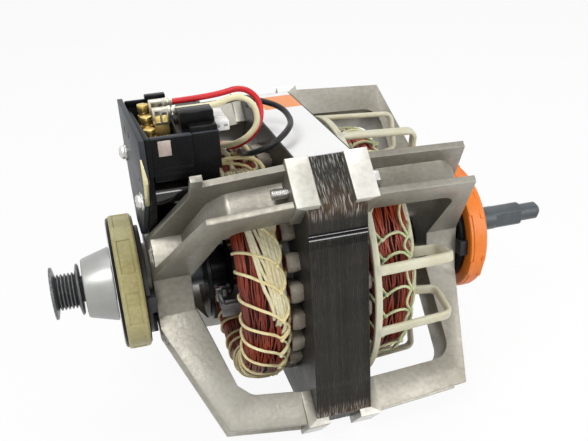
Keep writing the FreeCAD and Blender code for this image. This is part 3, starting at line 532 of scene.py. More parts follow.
class Forge:
    """Bmesh steps that several sub-assemblies use."""

    @staticmethod
    def piece(name: str, mesh: bpy.types.Mesh, finish: Finish, body: str, slot: str,
              stands_for: Sequence[str] = (), smooth: float = 0.6,
              more: Sequence[Finish] = ()) -> bpy.types.Object:
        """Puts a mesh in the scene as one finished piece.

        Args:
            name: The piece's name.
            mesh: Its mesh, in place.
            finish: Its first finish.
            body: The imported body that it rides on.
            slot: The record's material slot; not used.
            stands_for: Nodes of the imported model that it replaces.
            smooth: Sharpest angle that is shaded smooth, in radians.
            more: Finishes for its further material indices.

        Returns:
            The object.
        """
        mesh.name = name
        mesh.materials.clear()
        for one in (finish, *more):
            mesh.materials.append(one.material())
        mesh.shade_smooth()
        mesh.set_sharp_from_angle(angle=smooth)
        made = put(name, mesh)
        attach(made, body)
        if stands_for:
            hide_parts(*stands_for)
        log.info("%s: %d faces on %s", name, len(mesh.polygons), body)
        return made

    @staticmethod
    def mesh(bm: bmesh.types.BMesh, tidy: bool = True) -> bpy.types.Mesh:
        """Turns a bmesh into a mesh and frees it.

        Args:
            bm: The bmesh.
            tidy: Whether doubles are merged and normals turned outwards.

        Returns:
            The mesh.
        """
        if tidy:
            bmesh.ops.remove_doubles(bm, verts=bm.verts, dist=1e-6)
            bmesh.ops.recalc_face_normals(bm, faces=bm.faces)
        made = bpy.data.meshes.new("mesh")
        bm.to_mesh(made)
        bm.free()
        return made

    @staticmethod
    def curve(name: str, paths: Sequence[Sequence[Vector]], radius: float, sides: int, steps: int, smooth: bool,
              closed: bool = False, width: float = 0.0) -> bpy.types.Object:
        """Curve object of round or flat wires along paths.

        Args:
            name: The object's name.
            paths: The points of each wire.
            radius: Half of the wire's thickness.
            sides: The curve's bevel resolution.
            steps: Steps between two points of a smooth wire.
            smooth: Whether the wire rounds the points off.
            closed: Whether each wire closes on itself.
            width: Extra width of a flat wire, along the paths' local Z.

        Returns:
            The object.
        """
        curve = bpy.data.curves.new(name, "CURVE")
        curve.dimensions = "3D"
        curve.bevel_depth = radius
        curve.bevel_resolution = sides
        curve.extrude = width / 2
        curve.use_fill_caps = True
        curve.resolution_u = steps
        for points in paths:
            spline = curve.splines.new("NURBS" if smooth else "POLY")
            spline.points.add(len(points) - 1)
            for point, place in zip(spline.points, points):
                point.co = (*place, 1.0)
            if smooth:
                spline.order_u = 3
                spline.use_endpoint_u = not closed
            spline.use_cyclic_u = closed
        return put(name, curve)

    @staticmethod
    def evaluated(holder: bpy.types.Object) -> bpy.types.Mesh:
        """Mesh of an object with its curve or modifiers carried out.

        Args:
            holder: The object.

        Returns:
            The mesh.
        """
        bpy.context.view_layer.update()
        return bpy.data.meshes.new_from_object(holder.evaluated_get(bpy.context.evaluated_depsgraph_get()))

    @staticmethod
    def wires(paths: Sequence[Sequence[Vector]], radius: float, closed: bool = False, sides: int = 1,
              picks: Sequence[int] = (), width: float = 0.0, smooth: bool = False) -> bpy.types.Mesh:
        """Mesh of round or flat wires along paths.

        Args:
            paths: The points of each wire.
            radius: Half of the wire's thickness.
            closed: Whether each wire closes on itself.
            sides: The curve's bevel resolution.
            picks: Material index of each wire.
            width: Extra width of a flat wire, along the paths' local Z.
            smooth: Whether the wire rounds the points off.

        Returns:
            The mesh, with closed ends.
        """
        holder = Forge.curve("wires", paths, radius, sides, 3, smooth, closed, width)
        curve = holder.data
        for spline, pick in zip(curve.splines, picks):
            spline.material_index = pick
        made = Forge.evaluated(holder)
        bpy.data.objects.remove(holder)
        bpy.data.curves.remove(curve)
        return made

    @staticmethod
    def spun(bm: bmesh.types.BMesh, points: Sequence[Vector], steps: int, closed: bool = True, turns: int = 1,
             climb: float = 0.0) -> None:
        """Spins a line of points about the shaft.

        Args:
            bm: The bmesh to add to.
            points: The line's points in metres.
            steps: Steps of each turn.
            closed: Whether the line closes on itself.
            turns: Number of turns.
            climb: Rise of a thread in each turn in millimetres.
        """
        corners = [bm.verts.new(point) for point in points]
        edges = [bm.edges.new((corners[i - 1], corners[i])) for i in range(0 if closed else 1, len(corners))]
        bmesh.ops.spin(bm, geom=corners + edges, cent=(0, 0, 0), axis=(1, 0, 0), angle=2 * math.pi * turns,
                       dvec=mm(climb / steps, 0, 0), steps=steps * turns, use_merge=not climb)

    @staticmethod
    def turned(profile: Sequence[tuple[float, float]], steps: int = 96, closed: bool = True) -> bmesh.types.BMesh:
        """Ring or knob about the shaft from a profile.

        Args:
            profile: The (x, radius) corners in millimetres.
            steps: Steps of the full spin.
            closed: Whether the profile closes on itself.

        Returns:
            The bmesh.
        """
        bm = bmesh.new()
        Forge.spun(bm, [mm(x, 0, r) for x, r in profile], steps, closed)
        return bm

    @staticmethod
    def rounded(bm: bmesh.types.BMesh, edges: Iterable[bmesh.types.BMEdge], width: float) -> dict[str, list]:
        """Rounds edges off.

        Args:
            bm: Their bmesh.
            edges: The edges.
            width: The rounding's width in millimetres.

        Returns:
            The new faces, edges and vertices by kind.
        """
        return bmesh.ops.bevel(bm, geom=list(edges), offset=width * MM, offset_type="OFFSET", segments=2,
                               profile=0.5, affect="EDGES", clamp_overlap=True, material=-1)

    @staticmethod
    def rod(bm: bmesh.types.BMesh, place: Point, radius: float, length: float, sides: int = 28,
            tip: Optional[float] = None, lean: float = 90.0,
            turn: Optional[Matrix] = None) -> list[bmesh.types.BMVert]:
        """Adds a closed rod, along the shaft unless it leans otherwise.

        Args:
            bm: The bmesh to add to.
            place: Its middle in millimetres.
            radius: Its radius in millimetres.
            length: Its length in millimetres.
            sides: Number of its sides.
            tip: Radius of its far end in millimetres, where that differs.
            lean: Angle of its axis from Z in degrees.
            turn: Turn applied to the finished rod.

        Returns:
            The rod's vertices.
        """
        matrix = Matrix.Translation(mm(*place)) @ Matrix.Rotation(math.radians(lean), 4, "Y")
        far = radius if tip is None else tip
        return bmesh.ops.create_cone(bm, cap_ends=True, segments=sides, radius1=radius * MM, radius2=far * MM,
                                     depth=length * MM, matrix=matrix if turn is None else turn @ matrix)["verts"]

    @staticmethod
    def softened(node: str, width: float, edge_finish: int = 0) -> bpy.types.Mesh:
        """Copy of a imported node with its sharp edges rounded.

        Args:
            node: The node's name.
            width: The rounding's width in millimetres.
            edge_finish: Material index of the roundings.

        Returns:
            The rounded mesh.
        """
        bm = bmesh.new()
        bm.from_mesh(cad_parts[node].data)
        bmesh.ops.remove_doubles(bm, verts=bm.verts, dist=2e-6)
        bmesh.ops.dissolve_limit(bm, angle_limit=FLAT_ANGLE, verts=bm.verts, edges=bm.edges)
        sharp = [e for e in bm.edges if len(e.link_faces) == 2 and e.calc_face_angle(0.0) > SHARP_ANGLE]
        for face in Forge.rounded(bm, sharp, width)["faces"]:
            face.material_index = edge_finish
        bmesh.ops.triangulate(bm, faces=[f for f in bm.faces if len(f.verts) > 4])
        return Forge.mesh(bm)

    @staticmethod
    def dress(name: str, node: str, width: float, finish: Finish, slot: str, body: str = "stator",
              smooth: float = 0.6) -> None:
        """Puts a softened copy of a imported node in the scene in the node's place.

        Args:
            name: The piece's name.
            node: The node's name.
            width: Width of its edge rounding in millimetres.
            finish: Its finish.
            slot: The record's material slot.
            body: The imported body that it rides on.
            smooth: Sharpest angle that is shaded smooth, in radians.
        """
        Forge.piece(name, Forge.softened(node, width), finish, body, slot, (node,), smooth)

    @staticmethod
    def ring(name: str, profile: Sequence[tuple[float, float]], steps: int, finish: Finish, slot: str,
             stands_for: Sequence[str] = (), smooth: float = 0.6) -> None:
        """Puts a turned ring on the standing body.

        Args:
            name: The piece's name.
            profile: The (x, radius) corners in millimetres.
            steps: Steps of the full spin.
            finish: Its finish.
            slot: The record's material slot.
            stands_for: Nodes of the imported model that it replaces.
            smooth: Sharpest angle that is shaded smooth, in radians.
        """
        Forge.piece(name, Forge.mesh(Forge.turned(profile, steps)), finish, "stator", slot, stands_for, smooth)

    @staticmethod
    def absorb(bm: bmesh.types.BMesh, mesh: bpy.types.Mesh) -> None:
        """Moves a mesh into a bmesh.

        Args:
            bm: The bmesh.
            mesh: The mesh, which is removed.
        """
        bm.from_mesh(mesh)
        bpy.data.meshes.remove(mesh)

    @staticmethod
    def copies(mesh: bpy.types.Mesh, turns: Iterable[Matrix]) -> bmesh.types.BMesh:
        """Sets turned copies of a mesh together.

        Args:
            mesh: The mesh.
            turns: Turn of each copy.

        Returns:
            Their bmesh.
        """
        bm = bmesh.new()
        for turn in turns:
            start = len(bm.verts)
            bm.from_mesh(mesh)
            bm.verts.ensure_lookup_table()
            bmesh.ops.transform(bm, matrix=turn, verts=bm.verts[start:])
        return bm

    @staticmethod
    def cut(target: bpy.types.Mesh, cutter: bpy.types.Mesh) -> bpy.types.Mesh:
        """Takes one closed mesh out of another.

        Args:
            target: The mesh that is cut.
            cutter: The mesh that is taken away.

        Returns:
            The cut mesh.
        """
        holders = [put("cut", mesh) for mesh in (target, cutter)]
        step = holders[0].modifiers.new("cut", "BOOLEAN")
        step.object = holders[1]
        step.operation = "DIFFERENCE"
        step.solver = "EXACT"
        made = Forge.evaluated(holders[0])
        for holder in holders:
            bpy.data.objects.remove(holder)
        return made

    @staticmethod
    def slab(bm: bmesh.types.BMesh, low: Point, high: Point, bevel: float = 0.0,
             turn: Optional[Matrix] = None) -> None:
        """Adds a box with softened edges.

        Args:
            bm: The bmesh to add to.
            low: Lowest corner in millimetres.
            high: Highest corner in millimetres.
            bevel: Width of its edge rounding in millimetres.
            turn: Turn applied to the finished box.
        """
        size = [b - a for a, b in zip(low, high)]
        middle = [(a + b) / 2 for a, b in zip(low, high)]
        made = bmesh.ops.create_cube(bm, size=1.0, matrix=Matrix.Translation(mm(*middle)) @
                                     Matrix.Diagonal((*(mm(*size)), 1.0)))["verts"]
        if bevel:
            made = Forge.rounded(bm, {e for v in made for e in v.link_edges}, bevel)["verts"]
        if turn is not None:
            bmesh.ops.transform(bm, matrix=turn, verts=list(set(made)))

    @staticmethod
    def slabs(bm: bmesh.types.BMesh, rows: Iterable[tuple[Point, Point, float]], count: int = 1,
              first: float = 0.0) -> None:
        """Adds boxes, repeated round the shaft where a count is given.

        Args:
            bm: The bmesh to add to.
            rows: Lowest corner, highest corner and edge rounding of each box in millimetres.
            count: Number of even places round the shaft.
            first: Angle of the first place in degrees.
        """
        for low, high, bevel in rows:
            for i in range(count):
                Forge.slab(bm, low, high, bevel, about_shaft(360 / count * i + first))

    @staticmethod
    def block(rows: Iterable[tuple[Point, Point, float]]) -> bpy.types.Mesh:
        """Mesh of boxes.

        Args:
            rows: Lowest corner, highest corner and edge rounding of each box in millimetres.

        Returns:
            The mesh.
        """
        bm = bmesh.new()
        Forge.slabs(bm, rows)
        return Forge.mesh(bm)

    @staticmethod
    def pocket(target: bpy.types.Mesh, low: Point, high: Point, bevel: float = 0.0) -> bpy.types.Mesh:
        """Cuts a box out of a closed mesh.

        Args:
            target: The mesh.
            low: The box's lowest corner in millimetres.
            high: Its highest corner in millimetres.
            bevel: Width of its edge rounding in millimetres.

        Returns:
            The cut mesh.
        """
        return Forge.cut(target, Forge.block([(low, high, bevel)]))

    @staticmethod
    def rounded_path(corners: Sequence[tuple[float, float, float]], steps: int = 6,
                     closed: bool = False) -> list[tuple[float, float]]:
        """Path in a plane through corners with radii.

        Args:
            corners: The (a, b, radius) of each corner.
            steps: Steps in each rounding.
            closed: Whether the path closes.

        Returns:
            The path's points.
        """
        path: list[tuple[float, float]] = []
        for i, (a, b, radius) in enumerate(corners):
            inner = closed or 0 < i < len(corners) - 1
            if not radius or not inner:
                path.append((a, b))
                continue
            here = Vector((a, b))
            before = (Vector(corners[i - 1][:2]) - here).normalized()
            after = (Vector(corners[(i + 1) % len(corners)][:2]) - here).normalized()
            half = before.angle(after) / 2
            centre = here + (before + after).normalized() * radius / math.sin(half)
            first = here + before * radius / math.tan(half) - centre
            last = here + after * radius / math.tan(half) - centre
            for k in range(steps + 1):
                path.append(tuple(centre + first.slerp(last, k / steps).normalized() * radius))
        return path


def slot_tube(bm: bmesh.types.BMesh, outline: Sequence[tuple[float, float]],
              stations: Sequence[tuple[float, float]], closed: bool, turn: Matrix) -> None:
    """Draws a slot's outline out along the shaft through stations that swell it.

    Args:
        bm: The bmesh to add to.
        outline: The (y, z) points of the slot at +Z in millimetres.
        stations: The (x, swell) of each step.
        closed: Whether the outline is a loop, which gets end faces.
        turn: Turn to the slot's place.
    """
    start = stations[0][0]
    corners = [bm.verts.new(mm(start, y, z)) for y, z in outline]
    rim = [bm.edges.new((a, b)) for a, b in zip(corners, corners[1:] + (corners[:1] if closed else []))]
    first, fresh, last = rim, set(corners), (start, 1.0)
    for x, swell in stations:
        if x != start:
            made = bmesh.ops.extrude_edge_only(bm, edges=rim)["geom"]
            corners = [v for v in made if isinstance(v, bmesh.types.BMVert)]
            rim = [e for e in made if isinstance(e, bmesh.types.BMEdge) and all(v in corners for v in e.verts)]
            fresh.update(corners)
        ratio = swell / last[1]
        move = (Matrix.Translation(mm(x, 0, SLOT_MIDDLE)) @ Matrix.Diagonal((1.0, ratio, ratio, 1.0))
                @ Matrix.Translation(mm(-last[0], 0, -SLOT_MIDDLE)))
        bmesh.ops.transform(bm, matrix=move, verts=corners)
        last = (x, swell)
    if closed:
        bmesh.ops.contextual_create(bm, geom=first)
        bmesh.ops.contextual_create(bm, geom=rim)
    bmesh.ops.transform(bm, matrix=turn, verts=list(fresh))


def round_shaft(x: float, radius: float, angle: float) -> Vector:
    """Point round the shaft, its angle from +Z towards -Y.

    Args:
        x: Place along the shaft in millimetres.
        radius: Distance from the shaft's axis in millimetres.
        angle: Angle in radians.

    Returns:
        The point in metres.
    """
    return mm(x, -radius * math.sin(angle), radius * math.cos(angle))


# ---------------------------------------------------------------- camera, light and floor

@dataclass
class PhotoStage:
    """Camera at the photograph's place, soft studio light and a pale floor."""

    yaw: float = 14.43
    fall: float = 26.45
    roll: float = 3.39
    distance: float = 412.68
    aim: Point = (87.7, 0.0, 0.0)
    focal: float = 790.07
    sensor: float = 36.0
    middle: tuple[float, float] = (298.22, 251.03)
    photo: tuple[int, int] = (588, 441)
    floor_level: float = -72.6
    floor_colour: Colour = (0.86, 0.86, 0.86)
    floor_white: float = 0.93
    ambient: float = 0.21
    lamps: Sequence[tuple[str, Point, float, float]] = (
        ("key_light", (-0.45, -0.60, 1.0), 0.5, 7.3), ("top_light", (0.25, 0.25, 1.1), 0.8, 6.1),
        ("side_light", (0.11, -0.95, 0.36), 0.2, 1.3), ("rear_light", (0.36, -0.30, 0.12), 0.2, 0.62))

    def camera(self) -> None:
        """Makes the scene's camera."""
        a, e, r = (math.radians(v) for v in (self.yaw, self.fall, self.roll))
        ahead = Vector((math.sin(a) * math.cos(e), math.cos(a) * math.cos(e), -math.sin(e)))
        right = ahead.cross(Vector((0, 0, 1))).normalized()
        up = right.cross(ahead)
        side = right * math.cos(r) - up * math.sin(r)
        top = right * math.sin(r) + up * math.cos(r)
        wide, high = self.photo
        data = bpy.data.cameras.new("photo_camera")
        data.sensor_width = self.sensor
        data.lens = self.focal / wide * self.sensor
        data.shift_x = (wide / 2 - self.middle[0]) / wide
        data.shift_y = (self.middle[1] - high / 2) / wide
        data.clip_start, data.clip_end = 0.01, 50.0
        made = put("photo_camera", data)
        turn = Matrix((side, top, -ahead)).transposed().to_4x4()
        made.matrix_world = Matrix.Translation(mm(*self.aim) - ahead * self.distance * MM) @ turn
        bpy.context.scene.camera = made

    def lamp(self, name: str, place: Point, size: float, power: float) -> None:
        """Adds one soft lamp that faces the motor.

        Args:
            name: The lamp's name.
            place: Its place in metres.
            size: Its side in metres.
            power: Its power in watts.
        """
        data = bpy.data.lights.new(name, "AREA")
        data.size = size
        data.energy = power
        made = put(name, data)
        made.location = place
        made.rotation_euler = (Vector(STAGE_MIDDLE) - Vector(place)).to_track_quat("-Z", "Y").to_euler()

    @staticmethod
    def whiten(sheet: NodeSheet, plain: bpy.types.Node, white: bpy.types.Node, share: float, output: str) -> None:
        """Shows white to the lens, to mirrors and through glass, and a plain shader to all other light.

        Args:
            sheet: The tree.
            plain: The plain shader.
            white: The white one.
            share: How much of the white is shown.
            output: Kind of the tree's output node.
        """
        path = sheet.add("LightPath")
        seen = path.outputs["Is Camera Ray"]
        for ray in ("Is Transmission Ray", "Is Glossy Ray"):
            seen = sheet.math("MAXIMUM", seen, path.outputs[ray])
        mixed = sheet.add("MixShader")
        for socket, value in zip(mixed.inputs, (sheet.math("MULTIPLY", seen, share), plain.outputs[0],
                                                white.outputs[0])):
            sheet.feed(socket, value)
        sheet.add(output, Surface=mixed.outputs[0])

    def world(self) -> None:
        """Pale surroundings that the camera and the metals see as white."""
        world = bpy.data.worlds.new("studio")
        sheet = NodeSheet.blank(world)
        soft = sheet.add("Background", Color=WHITE, Strength=self.ambient)
        white = sheet.add("Background", Color=WHITE, Strength=1.0)
        self.whiten(sheet, soft, white, 1.0, "OutputWorld")
        bpy.context.scene.world = world

    def floor(self) -> None:
        """Pale floor that keeps a soft shadow."""
        bm = bmesh.new()
        bmesh.ops.create_grid(bm, x_segments=1, y_segments=1, size=6.0,
                              matrix=Matrix.Translation((STAGE_MIDDLE[0], 0, self.floor_level * MM)))
        made = put("studio_floor", Forge.mesh(bm))
        material = bpy.data.materials.new("pale_floor")
        sheet = NodeSheet.blank(material)
        plain = sheet.add("BsdfDiffuse", Color=rgba(self.floor_colour))
        white = sheet.add("Emission", Color=WHITE, Strength=1.0)
        self.whiten(sheet, plain, white, self.floor_white, "OutputMaterial")
        made.data.materials.append(material)

    def build(self) -> None:
        """Sets the whole stage."""
        self.camera()
        self.world()
        self.floor()
        for name, place, size, power in self.lamps:
            self.lamp(name, place, size, power)
        bpy.context.scene.view_settings.view_transform = "Standard"


# ---------------------------------------------------------------- leads

@dataclass
class Lead:
    """One insulated lead from the start switch to the top of the front coil head."""

    name: str
    finish: Finish
    slot: str
    length: float
    route: Sequence[Point]
    diameter: float = 2.7

    def build(self) -> None:
        """Lays the lead."""
        made = Forge.curve(self.name + "_wire", [[mm(*place) for place in self.route]], self.diameter / 2 * MM, 5, 10,
                           smooth=True)
        made.data.materials.append(self.finish.material())
        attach(made, "stator")
        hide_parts(self.name)


LEADS = (
    Lead("red_lead", RED_PVC, "red_pvc", 88.8,
         ((31.5, -8.0, 89.2), (38.5, -8.0, 89.2), (52.9, -8.5, 90.0), (62.8, -10.4, 92.6), (69.6, -13.0, 88.0),
          (70.5, -16.0, 79.7), (65.6, -19.0, 72.4), (60.0, -15.5, 67.6), (56.2, -4.0, 62.4), (53.8, 6.5, 61.6))),
    Lead("white_lead", CREAM_PVC, "cream_pvc", 87.2,
         ((31.5, -22.0, 89.2), (38.5, -22.0, 89.2), (49.5, -22.5, 89.4), (56.6, -22.6, 92.0), (62.9, -22.4, 90.2),
          (66.5, -22.0, 85.6), (66.9, -22.4, 77.9), (61.4, -21.2, 71.8), (55.2, -14.5, 67.2), (51.4, -3.0, 63.8),
          (50.2, 8.5, 61.6))),
    Lead("black_lead", BLACK_PVC, "black_pvc", 120.0,
         ((45.5, 2.0, 82.9), (54.6, 2.0, 82.9), (64.2, 1.0, 85.0), (73.3, -3.0, 83.0), (81.0, -12.0, 81.2),
          (81.7, -26.0, 78.6), (76.4, -38.4, 78.3), (68.8, -42.0, 74.2), (61.8, -38.8, 70.8), (58.8, -31.0, 67.9),
          (59.6, -18.0, 63.9), (60.6, -5.0, 61.8))),
)


# ---------------------------------------------------------------- winding

@dataclass
class CoilHead:
    """Wound head past one end of the stack, with its lacing."""

    name: str
    middle: float
    outward: int
    lacing: Finish
    lacing_slot: str
    loops: int
    hitches: Sequence[float]
    seed: int
    mean_radius: float = 51.1
    half_radial: float = 8.5
    half_axial: float = 11.3
    strands: int = 78
    strand_radius: float = 0.38
    cord_radius: float = 0.72
    knot_radius: float = 1.1
    squareness: float = 0.78
    core_depth: float = 2.1
    hitch_pull: float = 0.85
    band_from: float = 0.0
    band_to: float = 0.0

    def band_share(self, angle: float) -> float:
        """How far along the sleeved band a place lies.

        Args:
            angle: Angle round the shaft in radians.

        Returns:
            0 where the band starts, 1 where it ends.
        """
        span = max(self.band_to - self.band_from, 1e-6)
        return (math.degrees(angle) - self.band_from) / span

    def band_middle(self, share: float) -> tuple[float, float]:
        """Middle and half width of the sleeved band on the section.

        Args:
            share: Place along the band.

        Returns:
            Both as section angles in radians.
        """
        return 0.12 - 0.66 * share, 0.64 - 0.38 * share

    def band_rise(self, t: float, angle: float) -> float:
        """How far the band lifts the lacing that crosses it.

        Args:
            t: Angle in the section in radians.
            angle: Angle round the shaft in radians.

        Returns:
            The rise in millimetres.
        """
        share = self.band_share(math.remainder(angle, 2 * math.pi))
        if self.band_to <= self.band_from or not -0.1 < share < 1.05:
            return 0.0
        middle, half = self.band_middle(share)
        off = abs(math.remainder(t - middle, 2 * math.pi)) / half
        return 1.9 * max(0.0, 1.0 - max(0.0, off - 0.55) / 0.9) * min(1.0, (1.05 - share) * 5)

    def section(self, t: float, angle: float, shrink: float) -> Vector:
        """Point on the head's rounded section.

        Args:
            t: Angle in the section, 0 outermost and a quarter turn at the free end, in radians.
            angle: Angle round the shaft in radians.
            shrink: Depth below the head's surface in millimetres.

        Returns:
            The point in metres.
        """
        c, s = math.cos(t), math.sin(t)
        radial = (self.half_radial - shrink) * math.copysign(abs(c) ** self.squareness, c)
        axial = (self.half_axial - shrink) * math.copysign(abs(s) ** self.squareness, s)
        return round_shaft(self.middle + self.outward * axial, self.mean_radius + radial, angle)

    def lumps(self, angle: float) -> float:
        """How far the laced bundle pulls in at a place round the shaft.

        Args:
            angle: Angle round the shaft in radians.

        Returns:
            The depth in millimetres.
        """
        return 0.45 + 0.35 * math.cos(angle * self.loops) + 0.25 * math.sin(3 * angle + self.seed)

    def core(self) -> None:
        """Near-black body under the strands, painted shade that closes the gaps between them."""
        around = 20
        bm = bmesh.new()
        Forge.spun(bm, [self.section(2 * math.pi * k / around, 0.0, self.core_depth) for k in range(around)], 72)
        Forge.piece(f"{self.name}_winding_body", Forge.mesh(bm), WINDING_SHADE, "stator", "enamel_copper",
                    (f"{self.name}_winding_core",))

    def wires(self) -> None:
        """Visible strands that run round the shaft in groups that cross at a slant."""
        pick = random.Random(self.seed)
        paths, tints = [], []
        steps, group, leans, layer_depth = 76, 7, (-0.10, 0.16), 0.7
        for layer in range(2):
            count = self.strands - 8 * layer
            for j in range(count):
                start = 2 * math.pi * j / count + 0.06 * pick.random()
                phase, lift = pick.uniform(0, 6.28), pick.uniform(0.0, 0.45) + layer_depth * layer
                lean = leans[j // group % 2]
                points = []
                for i in range(steps):
                    angle = 2 * math.pi * i / steps
                    t = (start + lean * math.sin(2 * angle + self.seed) + 0.10 * math.sin(5 * angle + phase)
                         + 0.05 * math.sin(9 * angle + 2 * phase))
                    sink = self.strand_radius + 0.25 + lift + self.lumps(angle) * 0.6
                    points.append(self.section(t, angle, sink))
                paths.append(points)
                # The deeper layer takes the dark enamel more often, painted shade; the outer layer mixes tones at
                # random.
                tints.append(pick.choice((0, 1, 1, 1, 2) if layer == 0 else (0, 2, 2)))
        mesh = Forge.wires(paths, self.strand_radius * MM, closed=True, sides=0, picks=tints)
        Forge.piece(f"{self.name}_winding_strands", mesh, WIRE_RED, "stator", "enamel_copper",
                    (f"{self.name}_winding",), smooth=1.6, more=(WIRE_COPPER, WIRE_DARK_AND_SHADE))

    def lace(self) -> None:
        """Cord loops round the bundle, each drawn to a hitch on the run of cord before it."""
        pick = random.Random(self.seed + 7)
        step = 2 * math.pi / self.loops
        pulled = self.hitch_pull * step
        around, along = 40, 8
        loops: list[list[Vector]] = []
        runs: list[list[Vector]] = []
        bases = [step * (i + pick.uniform(-0.16, 0.16)) for i in range(self.loops)]
        for i, base in enumerate(bases):
            lean = pick.uniform(-0.12, 0.12) * step
            points = []
            for k in range(around):
                t = 2 * math.pi * k / around
                pull = sum(math.exp(-abs(math.remainder(t - h, 2 * math.pi)) / 0.55) for h in self.hitches)
                angle = base + lean * math.sin(t) + pulled * pull
                points.append(self.section(t, angle, self.lumps(angle) * 0.5 - 0.35 - self.band_rise(t, angle)))
            loops.append(points)
            after = bases[(i + 1) % self.loops] + (2 * math.pi if i + 1 == self.loops else 0.0)
            for h in self.hitches:
                run = []
                for k in range(along + 1):
                    share = k / along
                    angle = base + (after - base) * share + pulled
                    t = h - 0.34 * math.sin(math.pi * share)
                    run.append(self.section(t, angle, self.lumps(angle) * 0.5 - 0.8 - self.band_rise(t, angle)))
                runs.append(run)
        bm = bmesh.new()
        Forge.absorb(bm, Forge.wires(loops, self.cord_radius * MM, closed=True, sides=1))
        Forge.absorb(bm, Forge.wires(runs, self.cord_radius * 0.9 * MM, sides=1))
        for base in bases:
            for h in self.hitches:
                angle = base + pulled
                knot = self.section(h, angle, -0.6 - self.band_rise(h, angle))
                bmesh.ops.create_icosphere(bm, subdivisions=2, radius=self.knot_radius * MM,
                                           matrix=Matrix.Translation(knot))
        mesh = Forge.mesh(bm, tidy=False)
        Forge.piece(f"{self.name}_lacing", mesh, self.lacing, "stator", self.lacing_slot, smooth=1.6)

    def build(self) -> None:
        """Builds the head."""
        self.core()
        self.wires()
        self.lace()


@dataclass
class LeadBundle:
    """Band of sleeved wires laced on the front coil head, from its top down the photographed side."""

    head: CoilHead
    sleeves: int = 12
    sleeve_radius: float = 0.85
    seed: int = 21

    def build(self) -> None:
        """Lays the sleeves side by side and ends each one in the winding."""
        pick = random.Random(self.seed)
        steps, ends, depth = 30, 2, 2.6
        paths = []
        for j in range(self.sleeves):
            across = 2 * (j + 0.5) / self.sleeves - 1
            last = 1.0 - 0.13 * abs(across) - pick.uniform(0.0, 0.08)
            wave, points = pick.uniform(0, 6.28), []
            for i in range(steps + 1):
                share = last * i / steps
                middle, half = self.head.band_middle(share)
                angle = math.radians(self.head.band_from + (self.head.band_to - self.head.band_from) * share)
                t = middle + half * across + 0.03 * math.sin(9 * share + wave)
                dive = depth * (max(0.0, ends - i) + max(0.0, i - steps + ends)) / ends
                points.append(self.head.section(t, angle, -0.75 + dive + 0.3 * math.sin(7 * share + 2 * wave)))
            paths.append(points)
        mesh = Forge.wires(paths, self.sleeve_radius * MM, sides=2)
        Forge.piece("sleeved_leads", mesh, SLEEVE, "stator", "enamel_copper", smooth=1.2)
        self.upper_sleeves()

    def upper_sleeves(self) -> None:
        """Sleeves that take the leads' ends on the head's top, and the tie over them."""
        tops = (((50.2, 12.0, 60.8), (51.5, 4.0, 62.3), (56.0, -3.0, 63.4), (60.0, -8.0, 62.6), (61.5, -13.0, 58.0)),
                ((47.5, 7.0, 59.6), (48.5, 0.0, 61.0), (52.0, -6.0, 62.2), (54.5, -12.5, 61.6), (54.0, -19.0, 57.0)),
                ((53.8, 10.0, 60.6), (56.0, 3.0, 62.6), (61.0, 0.0, 63.0), (65.5, -4.0, 61.0), (66.5, -9.0, 56.0)),
                ((46.5, 2.0, 57.0), (46.8, -5.0, 58.6), (47.6, -12.0, 58.2), (49.0, -19.0, 56.2), (49.0, -26.0, 51.5)))
        tie = ((45.6, -14.0, 51.0), (45.4, -14.5, 56.0), (48.5, -15.5, 60.6), (54.0, -16.5, 61.9), (61.0, -17.5, 61.4),
               (65.8, -18.0, 59.8), (68.4, -19.5, 56.5), (69.2, -23.0, 52.5))
        for name, paths, radius, finish in (("looped_sleeves", tops, 1.2, SLEEVE),
                                            ("head_tie", (tie,), 1.0, CREAM_CORD)):
            mesh = Forge.wires([[mm(*place) for place in path] for path in paths], radius * MM, sides=2, smooth=True)
            Forge.piece(name, mesh, finish, "stator", "enamel_copper", smooth=1.2)


@dataclass
class SlotBundles:
    """Bundles of wire in the 24 slots, shown at the open ends of their liners."""

    slots: int = 24
    rows: int = 7
    low: float = 45.5
    high: float = 56.3
    front: float = 68.35
    rear: float = 107.05
    wire_radius: float = 0.62
    margin: float = 0.7
    seed: int = 3

    def build(self) -> None:
        """Fills each slot with a body and a layer of strands."""
        pick = random.Random(self.seed)
        paths, tints = [], []
        last_row = self.rows - 1
        for slot in range(self.slots):
            angle = 2 * math.pi * (slot + 0.5) / self.slots
            for row in range(self.rows):
                radius = self.low + self.margin + (self.high - self.low - 2 * self.margin) * row / last_row
                half = 1.85 + 0.115 * (radius - self.low)
                for side in (-1, -0.33, 0.33, 1):
                    if abs(side) < 0.5 and row not in (0, last_row):
                        continue
                    shift = half * side / radius
                    wobble = pick.uniform(-0.12, 0.12)
                    paths.append([round_shaft(x, radius + wobble, angle + shift)
                                  for x in (self.front, 77.0, 98.0, self.rear)])
                    tints.append(pick.choice((0, 1, 2)))
        body = bmesh.new()
        outline = Forge.rounded_path([(-2.2, 45.6, 0.8), (-3.75, 56.8, 2.2), (3.75, 56.8, 2.2), (2.2, 45.6, 0.8)],
                                     4, True)
        for slot in range(self.slots):
            slot_tube(body, outline, ((self.front + 0.3, 1.0), (self.rear - 0.3, 1.0)), True,
                      about_shaft(360 * (slot + 0.5) / self.slots))
        bm = bmesh.new()
        Forge.absorb(bm, Forge.wires(paths, self.wire_radius * MM, sides=0, picks=tints))
        Forge.absorb(bm, Forge.mesh(body))
        Forge.piece("slot_bundles", Forge.mesh(bm, tidy=False), WIRE_RED, "stator", "enamel_copper",
                    ("coil_sides",), more=(WIRE_COPPER, WIRE_DARK_AND_SHADE))


# ---------------------------------------------------------------- nylon guard

